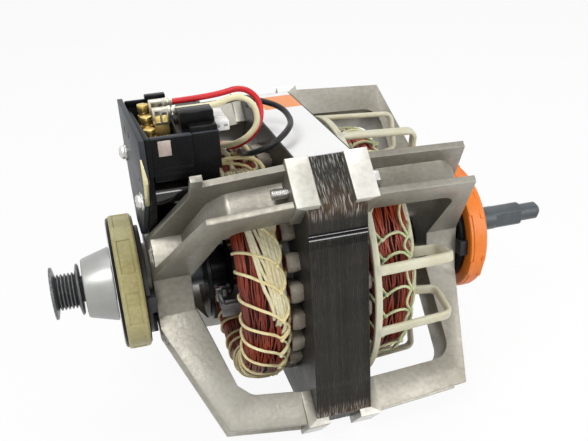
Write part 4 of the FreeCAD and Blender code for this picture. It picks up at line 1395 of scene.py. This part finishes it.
@dataclass
class WindingGuard:
    """Moulded nylon cage over the rear coil head."""

    ring_x: float = 106.95
    ring_radius: float = 66.6
    back_x: float = 133.0
    back_radius: float = 43.6
    back_ring_x: float = 131.25
    tip_x: float = 145.3
    tip_outer: float = 64.0
    tip_inner: float = 45.5
    thickness: float = 2.5
    hoop_width: float = 5.2
    ring_width: float = 3.4
    hoop_angle: float = 14.0

    def hoops(self) -> bpy.types.Mesh:
        """Bends eight strips from the outer ring to the inner one.

        Returns:
            Their mesh.
        """
        path = Forge.rounded_path([(self.ring_x - 0.5, self.ring_radius, 0), (self.tip_x, self.tip_outer, 3.6),
                                   (self.tip_x, self.tip_inner, 3.6), (self.back_x, self.back_radius, 0)], 7)
        one = Forge.wires([[mm(x, r, 0) for x, r in path]], self.thickness / 2 * MM * 0.98, sides=2,
                          width=(self.hoop_width - self.thickness) * MM)
        turns = [about_shaft(90 * i + side * self.hoop_angle) @ about_shaft(90) for i in range(4) for side in (-1, 1)]
        return Forge.mesh(Forge.copies(one, turns), tidy=False)

    def rings(self) -> bmesh.types.BMesh:
        """Spins the two rings with rounded corners.

        Returns:
            Their bmesh.
        """
        bm = bmesh.new()
        half = self.thickness / 2
        for x, radius in ((self.ring_x - self.ring_width / 2, self.ring_radius), (self.back_ring_x, self.back_radius)):
            box = Forge.rounded_path([(x, radius - half, 0.7), (x + self.ring_width, radius - half, 0.7),
                                      (x + self.ring_width, radius + half, 0.7), (x, radius + half, 0.7)], 3, True)
            Forge.absorb(bm, Forge.mesh(Forge.turned(box, 88)))
        return bm

    def feet(self, bm: bmesh.types.BMesh) -> None:
        """Adds the feet on the stack and the small pads between hoops.

        Args:
            bm: The guard's bmesh.
        """
        outer, inner = self.ring_radius, self.back_radius
        Forge.slabs(bm, [((101.05, -3.0, outer - 0.85), (106.0, 3.0, outer + 0.85), 0.4)], 4, 45)
        Forge.slabs(bm, [((131.4, -8.5, inner - 0.4), (134.4, 8.5, inner + 2.2), 0.5)], 4)

    def build(self) -> None:
        """Builds the guard."""
        bm = self.rings()
        self.feet(bm)
        Forge.absorb(bm, self.hoops())
        Forge.piece("nylon_guard", Forge.mesh(bm, tidy=False), NYLON, "stator", "nylon", ("winding_guard",))


# ---------------------------------------------------------------- castings and rings

@dataclass
class CastShields:
    """Die-cast end shields with rounded edges and cast marks."""

    rounding: float = 0.65
    foot_reach: float = 121.5
    foot_from: float = 58.0
    foot_to: float = 117.0
    edge_index: int = 1
    foot_index: int = 2

    def build(self) -> None:
        """Dresses both shields."""
        for node in ("front_shield", "rear_shield"):
            # The roundings take the lighter edge finish, partly wear and partly painted highlight.
            mesh = Forge.softened(node, self.rounding, self.edge_index)
            made = Forge.piece(node + "_casting", mesh, CAST, "stator", "cast_aluminium", (node,), smooth=0.5,
                               more=(CAST_EDGE_WEAR_AND_HIGHLIGHT, CAST_FOOT_LIT))
            # Slanted faces on the feet take the brighter copy of the cast finish, painted light.
            for face in made.data.polygons:
                along, across, up = face.center
                slanted = abs(abs(face.normal.y) - abs(face.normal.z)) < 0.05 and abs(face.normal.x) < 0.05
                reaches = abs(across) + abs(up) > self.foot_reach * MM
                if slanted and reaches and self.foot_from < along / MM < self.foot_to:
                    face.material_index = self.foot_index
        self.marks()
        self.cone_face()

    def marks(self) -> None:
        """Ejector marks and small bosses in the arms' channels and on the hub."""
        bm = bmesh.new()
        for i in range(4):
            for x, z, radius, lift in ((60.5, 74.2, 2.6, 0.5), (115.0, 75.0, 2.6, 0.5), (138.0, 74.8, 2.0, 0.4)):
                Forge.rod(bm, (x, 0, z), radius, lift * 2, 24, radius * 0.86, 0.0, about_shaft(45 + 90 * i))
        Forge.piece("casting_marks", Forge.mesh(bm), CAST, "stator", "cast_aluminium")

    def cone_face(self) -> None:
        """Finely turned nose on the front neck."""
        profile = [(-21.5, 10.6), (-21.5, 13.9), (-21.1, 14.5), (-20.2, 14.9), (-8.25, 18.35), (-7.4, 18.35),
                   (-7.4, 17.4), (-8.4, 17.4), (-20.6, 13.4), (-20.6, 10.6)]
        Forge.ring("turned_nose", profile, 112, CAST_TURNED, "cast_aluminium", smooth=0.5)


@dataclass
class MountingRings:
    """Rubber rings that clamp in the machine's saddles, with their metal parts."""

    front_x: float = 0.0
    half_width: float = 5.7
    radius: float = 33.5
    inner: float = 17.5
    rear_start: float = 170.0
    rear_end: float = 180.8

    def front(self) -> None:
        """Cream ring with lips, cross bridges and a dark liner at its face."""
        x, z, r = self.front_x - self.half_width, self.front_x + self.half_width, self.radius
        profile = [(x, self.inner), (x, 30.8), (x + 0.5, 31.6), (x + 0.5, r - 0.9), (x + 1.2, r - 0.15),
                   (x + 2.4, r - 0.15), (x + 2.9, r - 0.75), (z - 2.9, r - 0.75), (z - 2.4, r - 0.15),
                   (z - 0.9, r - 0.15), (z - 0.1, r - 0.9), (z, 30.5), (z, self.inner)]
        bm = Forge.turned(profile, 120)
        Forge.slabs(bm, [((x + 1.6, -4.6, r - 2.6), (z - 1.2, 4.6, r - 0.36), 0.3)], 8, 20)
        Forge.piece("front_mounting_ring", Forge.mesh(bm), CREAM_RUBBER, "stator", "cream_rubber", ("front_ring",),
                    smooth=0.55)
        seal = [(x - 0.9, 30.4), (x - 0.9, 31.6), (x - 0.2, 32.4), (x + 0.7, 32.4), (x + 0.7, 30.4)]
        Forge.ring("front_ring_liner", seal, 96, BLACK_PLASTIC, "dark_steel")
        seal = [(z - 0.6, 29.4), (z - 0.6, 31.8), (z + 0.5, 31.8), (z + 0.5, 29.4)]
        Forge.ring("front_ring_back", seal, 96, BLACK_PLASTIC, "dark_steel")

    def cup(self) -> None:
        """Bright dished plate in front of the cream ring."""
        x = self.front_x - self.half_width
        profile = [(x, 17.6), (x - 1.25, 18.4), (x - 1.25, 24.2), (x - 0.75, 25.6), (x - 0.75, 28.3), (x - 1.3, 29.2),
                   (x - 1.3, 30.4), (x - 0.9, 30.9), (x - 0.2, 30.9), (x, 30.4)]
        Forge.ring("bright_ring_cup", profile, 112, BRIGHT, "bright_steel", ("front_ring_cup",), 0.7)

    def rear(self) -> None:
        """Orange ring with a stepped band and a bevel at its free face."""
        a, z, r = self.rear_start, self.rear_end, self.radius
        profile = [(a, self.inner), (a, r - 1.2), (a + 0.5, r - 0.5), (a + 1.6, r - 0.5), (a + 2.0, r - 0.05),
                   (z - 4.2, r - 0.05), (z - 3.9, r - 0.6), (z - 2.4, r - 0.7), (z - 0.5, r - 3.0), (z, r - 3.8),
                   (z, 24.0), (z - 1.4, 23.2), (z - 1.4, self.inner)]
        bm = Forge.turned(profile, 120)
        Forge.slabs(bm, [((a + 0.2, -5.0, r - 1.6), (a + 2.6, 5.0, r - 0.02), 0.3),
                         ((z - 4.6, -7.0, r - 1.7), (z - 2.6, 7.0, r - 0.08), 0.3)], 6, 50)
        Forge.piece("rear_mounting_ring", Forge.mesh(bm), ORANGE_RUBBER, "stator", "orange_rubber", ("rear_ring",),
                    smooth=0.55)
        plate = [(z - 1.3, 17.7), (z - 0.6, 17.7), (z - 0.6, 22.6), (z - 1.3, 22.9)]
        Forge.ring("rear_ring_plate", plate, 72, DARK_STEEL, "dark_steel")

    def retainers(self) -> None:
        """Dark clip plates behind the rings."""
        Forge.dress("ring_clips", "ring_retainers", 0.35, DARK_STEEL, "dark_steel")
        disc = [(166.2, 18.0), (166.2, 26.6), (167.1, 27.6), (169.6, 27.6), (169.6, 18.0)]
        Forge.ring("rear_clip_disc", disc, 80, BLACK_PLASTIC, "dark_steel")

    def build(self) -> None:
        """Builds both rings and their metal parts."""
        self.front()
        self.cup()
        self.rear()
        self.retainers()


# ---------------------------------------------------------------- shaft, pulley and governor

@dataclass
class Drive:
    """Shaft, belt pulley, bearings and rotor."""

    pulley_start: float = -36.9
    pulley_end: float = -23.0
    ribs: int = 5
    pitch: float = 1.75
    blades: int = 12

    def shaft(self) -> None:
        """Shaft with softened shoulders and a thread near its tail."""
        Forge.dress("ground_shaft", "shaft", 0.3, SHAFT, "shaft_steel", "rotor", 0.5)
        x, pitch, crest, root = 215.4, 1.05, 4.62, 4.45
        profile = [mm(x - pitch / 2, 0, root - 0.6), mm(x - pitch * 0.4, 0, root), mm(x, 0, crest),
                   mm(x + pitch * 0.4, 0, root), mm(x + pitch / 2, 0, root - 0.6)]
        bm = bmesh.new()
        Forge.spun(bm, profile, 40, closed=False, turns=9, climb=pitch)
        Forge.piece("tail_thread", Forge.mesh(bm), SHAFT, "rotor", "shaft_steel")

    def pulley(self) -> None:
        """Turned pulley with V ribs, flanges and a toothed outer face."""
        a, z = self.pulley_start, self.pulley_end
        left = (a + z - self.ribs * self.pitch) / 2
        profile = [(a, 6.45), (a, 11.9), (a + 0.35, 12.6), (a + 0.8, 12.85), (a + 1.3, 12.6), (left - 0.1, 7.5),
                   (left, 7.4)]
        for i in range(self.ribs):
            middle = left + (i + 0.5) * self.pitch
            profile += [(middle - 0.28, 8.85), (middle, 9.0), (middle + 0.28, 8.85), (middle + self.pitch / 2, 7.4)]
        profile += [(z - 1.3, 12.6), (z - 0.8, 12.85), (z - 0.35, 12.6), (z, 11.9), (z, 6.45)]
        bm = Forge.turned(profile, 96)
        Forge.slabs(bm, [((a + 0.05, -0.75, 10.4), (a + 1.1, 0.75, 12.92), 0.2)], 24)
        Forge.piece("ribbed_pulley", Forge.mesh(bm), PULLEY, "rotor", "pulley_steel", ("pulley",), smooth=0.5)

    def rotor(self) -> None:
        """Rotor with blades and studs on its end rings."""
        Forge.dress("rotor_body", "rotor_core", 0.25, ROTOR, "rotor_steel", "rotor", 0.5)
        bm = bmesh.new()
        for face, out in ((67.35, -1), (108.05, 1)):
            low, high = sorted((face - 0.4 * out, face + 5.6 * out))
            Forge.slabs(bm, [((low, -0.9, 29.0), (high, 0.9, 38.0), 0.4)], self.blades)
            for i in range(self.blades):
                Forge.rod(bm, (face + 1.2 * out, 0, 33.5), 1.5, 3.6, 16, 1.2, 90 * out,
                          about_shaft(360 * (i + 0.5) / self.blades))
        Forge.piece("rotor_ring_studs", Forge.mesh(bm), CAST, "rotor", "rotor_steel")

    def build(self) -> None:
        """Builds the turning group and its bearings."""
        self.shaft()
        self.pulley()
        self.rotor()
        Forge.dress("bronze_bearings", "bearings", 0.3, BRONZE, "bearing_bronze", smooth=0.5)


@dataclass
class Governor:
    """Centrifugal governor's plate, weights and sliding collar."""

    def build(self) -> None:
        """Builds each member on its own body."""
        Forge.dress("governor_frame", "governor_base", 0.25, PLAIN_STEEL, "governor_steel", "rotor")
        for side in ("upper", "lower"):
            Forge.dress(f"weight_{side}_body", f"flyweight_{side}", 0.3, PLAIN_STEEL, "weight_steel", f"weight_{side}")
        profile = [(36.0, 7.98), (36.0, 25.3), (36.5, 25.85), (38.1, 25.85), (38.6, 25.3), (38.6, 23.6), (37.9, 23.0),
                   (37.9, 13.5), (38.8, 11.5), (39.6, 11.0), (47.2, 11.0), (47.9, 11.8), (47.9, 15.0), (48.3, 15.4),
                   (49.6, 15.4), (49.95, 15.0), (49.95, 7.98)]
        bm = Forge.turned(profile, 88)
        Forge.slabs(bm, [((37.6, -0.7, 10.6), (38.9, 0.7, 23.4), 0.2)], 6)
        Forge.piece("sliding_collar", Forge.mesh(bm), BLACK_PLASTIC, "collar", "black_plastic", ("governor_collar",),
                    smooth=0.5)
        Forge.dress("switch_lever", "start_lever", 0.35, GREY_PLASTIC, "grey_plastic", "lever")


# ---------------------------------------------------------------- start switch

@dataclass
class PanScrew:
    """Pan-head screw with a cross recess and a washer, its axis towards -X."""

    face_x: float
    y: float
    z: float
    radius: float = 3.3
    height: float = 2.4
    washer: float = 4.2

    def mesh(self) -> bpy.types.Mesh:
        """Makes the head about the origin and moves it to its seat.

        Returns:
            The mesh.
        """
        r, h = self.radius, self.height
        profile = [(0.2, 0.0), (0.2, self.washer), (-0.55, self.washer), (-0.7, self.washer - 0.25), (-0.7, r - 0.3),
                   (-0.8, r), (-0.8 - 0.45 * h, r - 0.1), (-0.8 - 0.8 * h, r - 0.8), (-0.8 - h, r - 2.1),
                   (-0.8 - h, 0.0)]
        head = Forge.mesh(Forge.turned(profile, 40, closed=False))
        long, thin = r * 0.55, 0.42
        for across, up in ((long, thin), (thin, long)):
            head = Forge.pocket(head, (-1.2 - h, -across, -up), (-h * 0.5, across, up))
        head.transform(Matrix.Translation(mm(self.face_x, self.y, self.z)))
        return head


@dataclass
class StartSwitch:
    """Start switch with its end plate, contacts, terminals and connector."""

    left: float = 12.6
    right: float = 45.5
    front: float = -44.0
    back: float = 9.0
    lean: float = 3.6
    post_rows: Sequence[float] = (-4.0, -15.0, -26.0)
    post_heights: Sequence[float] = (17.5, 15.0, 12.5)
    tab_rows: Sequence[float] = (-8.0, -22.0, -34.0)
    tab_heights: Sequence[float] = (16.5, 16.5, 9.5)
    wired_rows: Sequence[float] = (-8.0, -22.0)
    pocket_floor: float = 71.0

    def edge(self, y: float) -> float:
        """X of the housing's left face.

        Args:
            y: Place across the housing in millimetres.

        Returns:
            The X in millimetres.
        """
        return self.left + self.lean * ((self.back - y) / (self.back - self.front) - 0.5)

    def housing(self) -> None:
        """Black housing with softened edges, ribs and a raised lid."""
        Forge.dress("switch_body", "switch_housing", 0.4, BLACK_PLASTIC, "black_plastic")
        f, right = self.front, self.right
        rows = [((34.3, f - 0.4, 69.0), (45.2, f + 0.5, 84.3), 0.3),
                ((14.7, f - 0.5, 68.4), (17.0, f + 0.5, 84.4), 0.3),
                ((17.0, f - 0.25, 69.4), (33.6, f + 0.5, 71.6), 0.2),
                ((33.8, -43.6, 84.2), (45.2, -37.0, 87.0), 0.5), ((31.0, -36.3, 84.2), (45.3, -26.7, 91.4), 0.5),
                ((17.0, -38.0, 63.2), (33.4, -34.5, 68.3), 0.5), ((32.7, -38.0, 60.8), (45.2, -34.5, 68.3), 0.5),
                ((20.5, 4.4, 84.0), (30.0, 8.8, 89.8), 0.5),
                ((11.4, 6.9, 84.0), (20.8, 8.9, 87.6), 0.3), ((29.4, -25.9, 84.2), (45.1, 7.8, 85.4), 0.4),
                ((32.0, -24.0, 85.0), (43.5, -4.0, 86.8), 0.5), ((32.0, -1.0, 85.0), (43.5, 6.0, 86.8), 0.5)]
        rows += [((right - 0.3, y - 0.8, 68.6), (right + 0.5, y + 0.8, 78.5), 0.2) for y in (-36.0, -18.0, -11.0, 0.5)]
        rows += [((14.8, y - 0.6, 71.0), (28.9, y + 0.6, 81.0), 0.2) for y in (-9.5, -20.5, -31.0)]
        window = [((19.7, f - 0.3, 76.5), (25.1, f + 0.4, 83.2), 0.25)]
        # The rims along the front wall's top edge take the greyer plate finish, a painted highlight.
        rims = [((17.1, f - 0.2, 83.9), (34.2, f + 2.2, 84.75), 0.25),
                ((34.4, f - 0.3, 84.1), (45.3, f + 1.6, 84.9), 0.25)]
        Forge.piece("switch_ribs", Forge.block(rows), BLACK_PLASTIC, "stator", "black_plastic")
        Forge.piece("switch_window", Forge.block(window), WINDOW_METAL, "stator", "grey_plastic")
        Forge.piece("switch_rim_highlights", Forge.block(rims), DARK_PLATE, "stator", "black_plastic")

    def boss(self) -> None:
        """Round hollow post beside the housing's foot."""
        profile = [(16.9, 5.06), (32.1, 5.06), (32.55, 4.6), (32.55, 2.6), (30.0, 2.4), (30.0, 0.0)]
        bm = Forge.turned(profile, 48, closed=False)
        Forge.slabs(bm, [((16.9, -0.5, z - 0.5), (29.0, 0.5, z + 0.5), 0.2) for z in (-4.9, 4.9)])
        bmesh.ops.translate(bm, verts=bm.verts, vec=mm(0, -30.5, 55.6))
        Forge.piece("switch_post", Forge.mesh(bm), GLOSS_BLACK, "stator", "black_plastic", smooth=0.7)

    def plate(self) -> None:
        """Dark end plate with slots, and its two screws."""
        plate = Forge.softened("switch_plate", 0.3)
        for y, low, high in ((-3.0, 76.0, 79.5), (-14.5, 77.0, 80.0), (-31.0, 62.0, 64.0)):
            x = self.edge(y)
            plate = Forge.pocket(plate, (x - 5.0, y - 1.0, low), (x - 1.2, y + 1.0, high), 0.4)
        Forge.piece("switch_end_plate", plate, DARK_PLATE, "stator", "dark_plate", ("switch_plate",))
        bm = bmesh.new()
        for y, z in ((6.6, 64.0), (-29.5, 52.6)):
            Forge.absorb(bm, PanScrew(self.edge(y) - 2.4, y, z).mesh())
        Forge.piece("switch_screws", Forge.mesh(bm, tidy=False), ZINC, "stator", "bolt_steel", smooth=0.5)

    def posts(self) -> None:
        """Brass posts built up of nuts and discs, and the flat tabs."""
        bm = bmesh.new()
        floor = self.pocket_floor
        for y, rise in zip(self.post_rows, self.post_heights):
            base = floor
            for k in range(7):
                radius, height = (2.9 - 0.05 * k, 0.19 * rise) if k % 2 == 0 else (2.15, 0.08 * rise)
                made = Forge.rod(bm, (18.5, y, base + height / 2), radius, height, 6 if k == 0 else 28, lean=0.0)
                base += height
                Forge.rounded(bm, {e for v in made for e in v.link_edges if e.calc_length() > 0}, 0.22)
        for y, rise in zip(self.tab_rows, self.tab_heights):
            Forge.slabs(bm, [((21.3, y - 0.5, floor), (27.7, y + 0.5, floor + rise), 0.2),
                             ((21.0, y - 2.6, floor), (28.0, y + 2.6, floor + 1.4), 0.3)])
        Forge.piece("brass_contacts", Forge.mesh(bm), BRASS, "stator", "terminal_brass", ("switch_terminals",),
                    smooth=0.5)

    def crimps(self) -> None:
        """Push-on terminals with rolled edges and a crimped barrel."""
        bm = bmesh.new()
        low, high = self.pocket_floor + 12.6, self.pocket_floor + 20.0
        for y in self.wired_rows:
            sleeve = Forge.block([((20.9, y - 1.35, low), (28.1, y + 1.35, high), 0.4)])
            for start, end, top in ((22.0, 24.0, high - 1.3), (25.0, 27.0, high - 2.0)):
                sleeve = Forge.pocket(sleeve, (start, y - 2.0, low + 1.2), (end, y - 0.3, top), 0.2)
            Forge.absorb(bm, sleeve)
            Forge.slab(bm, (27.9, y - 1.7, high - 3.6), (31.2, y + 1.7, high - 2.9), 0.15)
            for wing in (y - 1.45, y + 1.45):
                Forge.slabs(bm, [((start, wing - 0.35, high - 3.4), (end, wing + 0.35, high - 0.1), 0.2)
                                 for start, end in ((27.6, 29.2), (29.7, 31.4))])
            Forge.rod(bm, (29.5, y, high - 1.8), 1.15, 4.0, 16)
        Forge.piece("flag_terminals", Forge.mesh(bm), TINNED, "stator", "tinned_brass", ("crimp_terminals",),
                    smooth=0.5)

    def strap(self) -> None:
        """Pale brass strap with softened edges."""
        Forge.dress("brass_strap", "switch_strap", 0.12, PALE_BRASS, "brass_strap")

    def connector(self) -> None:
        """White connector with two open cells and a latch."""
        body = Forge.block([((45.5, -31.0, 79.8), (52.5, -11.0, 84.2), 0.5)])
        for x in (47.3, 50.7):
            body = Forge.pocket(body, (x - 0.9, -32.0, 81.4), (x + 0.9, -29.0, 82.8), 0.2)
        bm = bmesh.new()
        Forge.absorb(bm, body)
        Forge.slabs(bm, [((47.0, -25.0, 83.8), (51.0, -17.0, 84.8), 0.3),
                         ((45.6, -14.5, 83.8), (52.4, -12.0, 84.9), 0.3)])
        Forge.piece("white_connector", Forge.mesh(bm, tidy=False), WHITE_PLASTIC, "stator", "white_plastic",
                    ("connector_block",))

    def build(self) -> None:
        """Builds the whole switch."""
        self.housing()
        self.boss()
        self.plate()
        self.posts()
        self.crimps()
        self.strap()
        self.connector()


# ---------------------------------------------------------------- stack, bolts and label

@dataclass
class LaminatedStack:
    """Square stack of blued laminations with standing sheet edges, and thin rods beside its grooves that paint the
    grooves' highlights and shadows.
    """

    front: float = 74.35
    rear: float = 101.05
    half: float = 70.0
    flat: float = 53.2
    sheets: int = 30
    groove_height: float = 36.5
    groove_half: float = 1.6
    groove_depth: float = 1.3
    rim: float = 0.5
    thickness_share: float = 0.62
    seed: int = 11

    def edges(self) -> None:
        """Outline of each sheet, standing a little proud with small steps."""
        pick = random.Random(self.seed)
        bm = bmesh.new()
        pitch = (self.rear - self.front) / self.sheets
        thick = pitch * self.thickness_share
        for k in range(self.sheets):
            x = self.front + pitch * (k + 0.5) - thick / 2
            out = pick.uniform(0.03, 0.12)
            w, f = self.half + out, self.flat + 0.5 * out
            outline: list[tuple[float, float]] = []
            for i, groove in enumerate((0, 1, 1, -1)):
                turn = math.radians(90 * i)
                near, far = sorted(groove * (self.groove_height + side * self.groove_half) for side in (-1, 1))
                bottom = w - self.groove_depth
                notch = [(near, w), (near, bottom), (far, bottom), (far, w)] if groove else []
                for y, z in ((-f, w), *notch, (f, w)):
                    outline.append((y * math.cos(turn) + z * math.sin(turn), -y * math.sin(turn) + z * math.cos(turn)))
            face = bm.faces.new([bm.verts.new(mm(x, y, z)) for y, z in outline])
            face.normal_update()
            ring = bmesh.ops.inset_region(bm, faces=[face], thickness=self.rim * MM, use_boundary=True,
                                          use_even_offset=True)["faces"]
            bmesh.ops.delete(bm, geom=[face], context="FACES_ONLY")
            made = bmesh.ops.extrude_face_region(bm, geom=ring)["geom"]
            bmesh.ops.translate(bm, verts=[v for v in made if isinstance(v, bmesh.types.BMVert)],
                                vec=mm(thick, 0, 0))
        Forge.piece("lamination_edges", Forge.mesh(bm), STACK, "stator", "stack_steel", smooth=0.3)

    def groove_lines(self, name: str, rows: Sequence[tuple[float, float]], finish: Finish) -> None:
        """Thin rods beside the grooves of the three bare sides, painting the highlights and shadows at the grooves'
        edges.

        Args:
            name: The piece's name.
            rows: Height above the groove and radius of each line, in millimetres.
            finish: The lines' finish.
        """
        bm = bmesh.new()
        for i, side in ((1, 1), (2, 1), (3, -1)):
            for height, radius in rows:
                place = ((self.front + self.rear) / 2, side * (self.groove_height + height), self.half + 0.06)
                Forge.rod(bm, place, radius, self.rear - self.front - 0.4, 12, turn=about_shaft(90 * i))
        Forge.piece(name, Forge.mesh(bm), finish, "stator", "stack_steel", smooth=1.0)

    def build(self) -> None:
        """Dresses the stack."""
        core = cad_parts["stator_core"]
        core.data.materials.clear()
        core.data.materials.append(STACK.material())
        self.edges()
        # Bright rods paint the highlights on the grooves' edges, black rods the shadows in them.
        self.groove_lines("groove_highlight_lines", ((4.75, 0.20), (2.95, 0.34)), PLAIN_STEEL)
        self.groove_lines("groove_shadow_lines", ((5.45, 0.32), (4.05, 0.42)), BLACK_PLASTIC)
        self.cuffs()

    def cuffs(self) -> None:
        """Slot liners with rounded, slightly bulged cuffs at both faces of the stack."""
        outline = Forge.rounded_path([(-2.75, 44.8, 0), (-4.65, 57.9, 2.6), (4.65, 57.9, 2.6), (2.75, 44.8, 0)], 6)
        swells = ((5.9, 0.98), (5.2, 1.05), (3.4, 1.10), (1.4, 1.06), (0.1, 0.99))
        stations = [(self.front - out, swell) for out, swell in swells]
        stations += [(self.rear + out, swell) for out, swell in reversed(swells)]
        bm = bmesh.new()
        for i in range(24):
            slot_tube(bm, outline, stations, False, about_shaft(15 * (i + 0.5)))
        bmesh.ops.recalc_face_normals(bm, faces=bm.faces)
        bmesh.ops.solidify(bm, geom=bm.faces[:], thickness=0.5 * MM)
        Forge.piece("liner_cuffs", Forge.mesh(bm), SLOT_PAPER, "stator", "slot_paper", ("slot_liners",), smooth=0.9)


@dataclass
class ThroughBolts:
    """Four long screws with threaded ends, hexagon heads and washers."""

    circle: float = 81.7
    head_x: float = 105.95
    end_x: float = 62.45
    radius: float = 2.4
    pitch: float = 0.8

    def one(self) -> bmesh.types.BMesh:
        """Bolt at +Z.

        Returns:
            The bolt's bmesh.
        """
        bm = bmesh.new()
        x, half = self.end_x + 0.2, self.pitch / 2
        Forge.spun(bm, [mm(x - half, 0, 1.9), mm(x, 0, 2.38), mm(x + half, 0, 1.9)], 24, closed=False, turns=11,
                   climb=self.pitch)
        for low, high, radius in ((self.end_x, self.head_x, 2.05), (70.5, self.head_x, 2.35)):
            made = Forge.rod(bm, ((low + high) / 2, 0, 0), radius, high - low)
            Forge.rounded(bm, {e for v in made for e in v.link_edges
                               if len(e.link_faces) == 2 and e.calc_face_angle() > 1.0}, 0.4)
        for low, high, radius, sides in ((105.95, 106.75, 4.6, 32), (106.7, 110.1, 4.55, 6)):
            made = Forge.rod(bm, ((low + high) / 2, 0, 0), radius, high - low, sides)
            Forge.rounded(bm, {e for v in made for e in v.link_edges}, 0.3)
        bmesh.ops.translate(bm, verts=bm.verts, vec=mm(0, 0, self.circle))
        return bm

    def build(self) -> None:
        """Sets the four bolts."""
        one = Forge.mesh(self.one(), tidy=False)
        bm = Forge.copies(one, [about_shaft(45 + 90 * i) for i in range(4)])
        Forge.piece("through_bolt_set", Forge.mesh(bm), ZINC, "stator", "bolt_steel", ("through_bolts",), smooth=0.5)


@dataclass
class PaperLabel:
    """White sticker with a plain orange band on the stack's top face."""

    band_start: float = 81.0
    band_low: float = 23.0
    band_high: float = 46.0
    band_colour: Colour = (0.80, 0.27, 0.065)
    paper: Colour = (0.84, 0.84, 0.84)
    soiled: Colour = (0.70, 0.69, 0.66)

    def material(self) -> bpy.types.Material:
        """Paper with the band laid over it.

        Returns:
            The material.
        """
        made = bpy.data.materials.new("label_paper")
        sheet = NodeSheet.blank(made)
        place = sheet.add("TexCoord").outputs["Object"]
        along, across = sheet.add("SeparateXYZ", Vector=place).outputs[:2]
        inside = sheet.math("GREATER_THAN", along, self.band_start * MM)
        above = sheet.math("GREATER_THAN", across, self.band_low * MM)
        below = sheet.math("LESS_THAN", across, self.band_high * MM)
        band = sheet.math("MULTIPLY", sheet.math("MULTIPLY", above, below), inside)
        stain = sheet.math("MULTIPLY", sheet.noise(place, 45.0, 4.0), 0.25)
        colour = sheet.mix(band, sheet.mix(stain, rgba(self.paper), rgba(self.soiled)), rgba(self.band_colour))
        bump = sheet.add("Bump", Strength=0.1, Distance=0.0001, Height=sheet.noise(place, 1500.0, 3.0))
        shader = sheet.add("BsdfPrincipled", Base_Color=colour, Normal=bump.outputs["Normal"], Roughness=0.45,
                           Coat_Weight=0.1)
        sheet.add("OutputMaterial", Surface=shader.outputs[0])
        return made

    def build(self) -> None:
        """Dresses the label."""
        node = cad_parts["label"]
        node.data.materials.clear()
        node.data.materials.append(self.material())


def main() -> None:
    """Builds the stage and every piece of the motor."""
    logging.basicConfig(level=logging.INFO, format="%(message)s")
    PhotoStage().build()
    for lead in LEADS:
        lead.build()
    front = CoilHead("front", 57.05, -1, CREAM_CORD, "enamel_copper", 31, (-0.38,), 5, band_from=16.0, band_to=103.0)
    rear = CoilHead("rear", 118.35, 1, GREEN_CORD, "enamel_copper", 28, (-0.35, 0.7), 8)
    builders = (front, LeadBundle(front), rear, SlotBundles(), WindingGuard(), CastShields(), MountingRings(),
                Drive(), Governor(), StartSwitch(), LaminatedStack(), ThroughBolts(), PaperLabel())
    for builder in builders:
        builder.build()


if __name__ == "__main__":
    main()
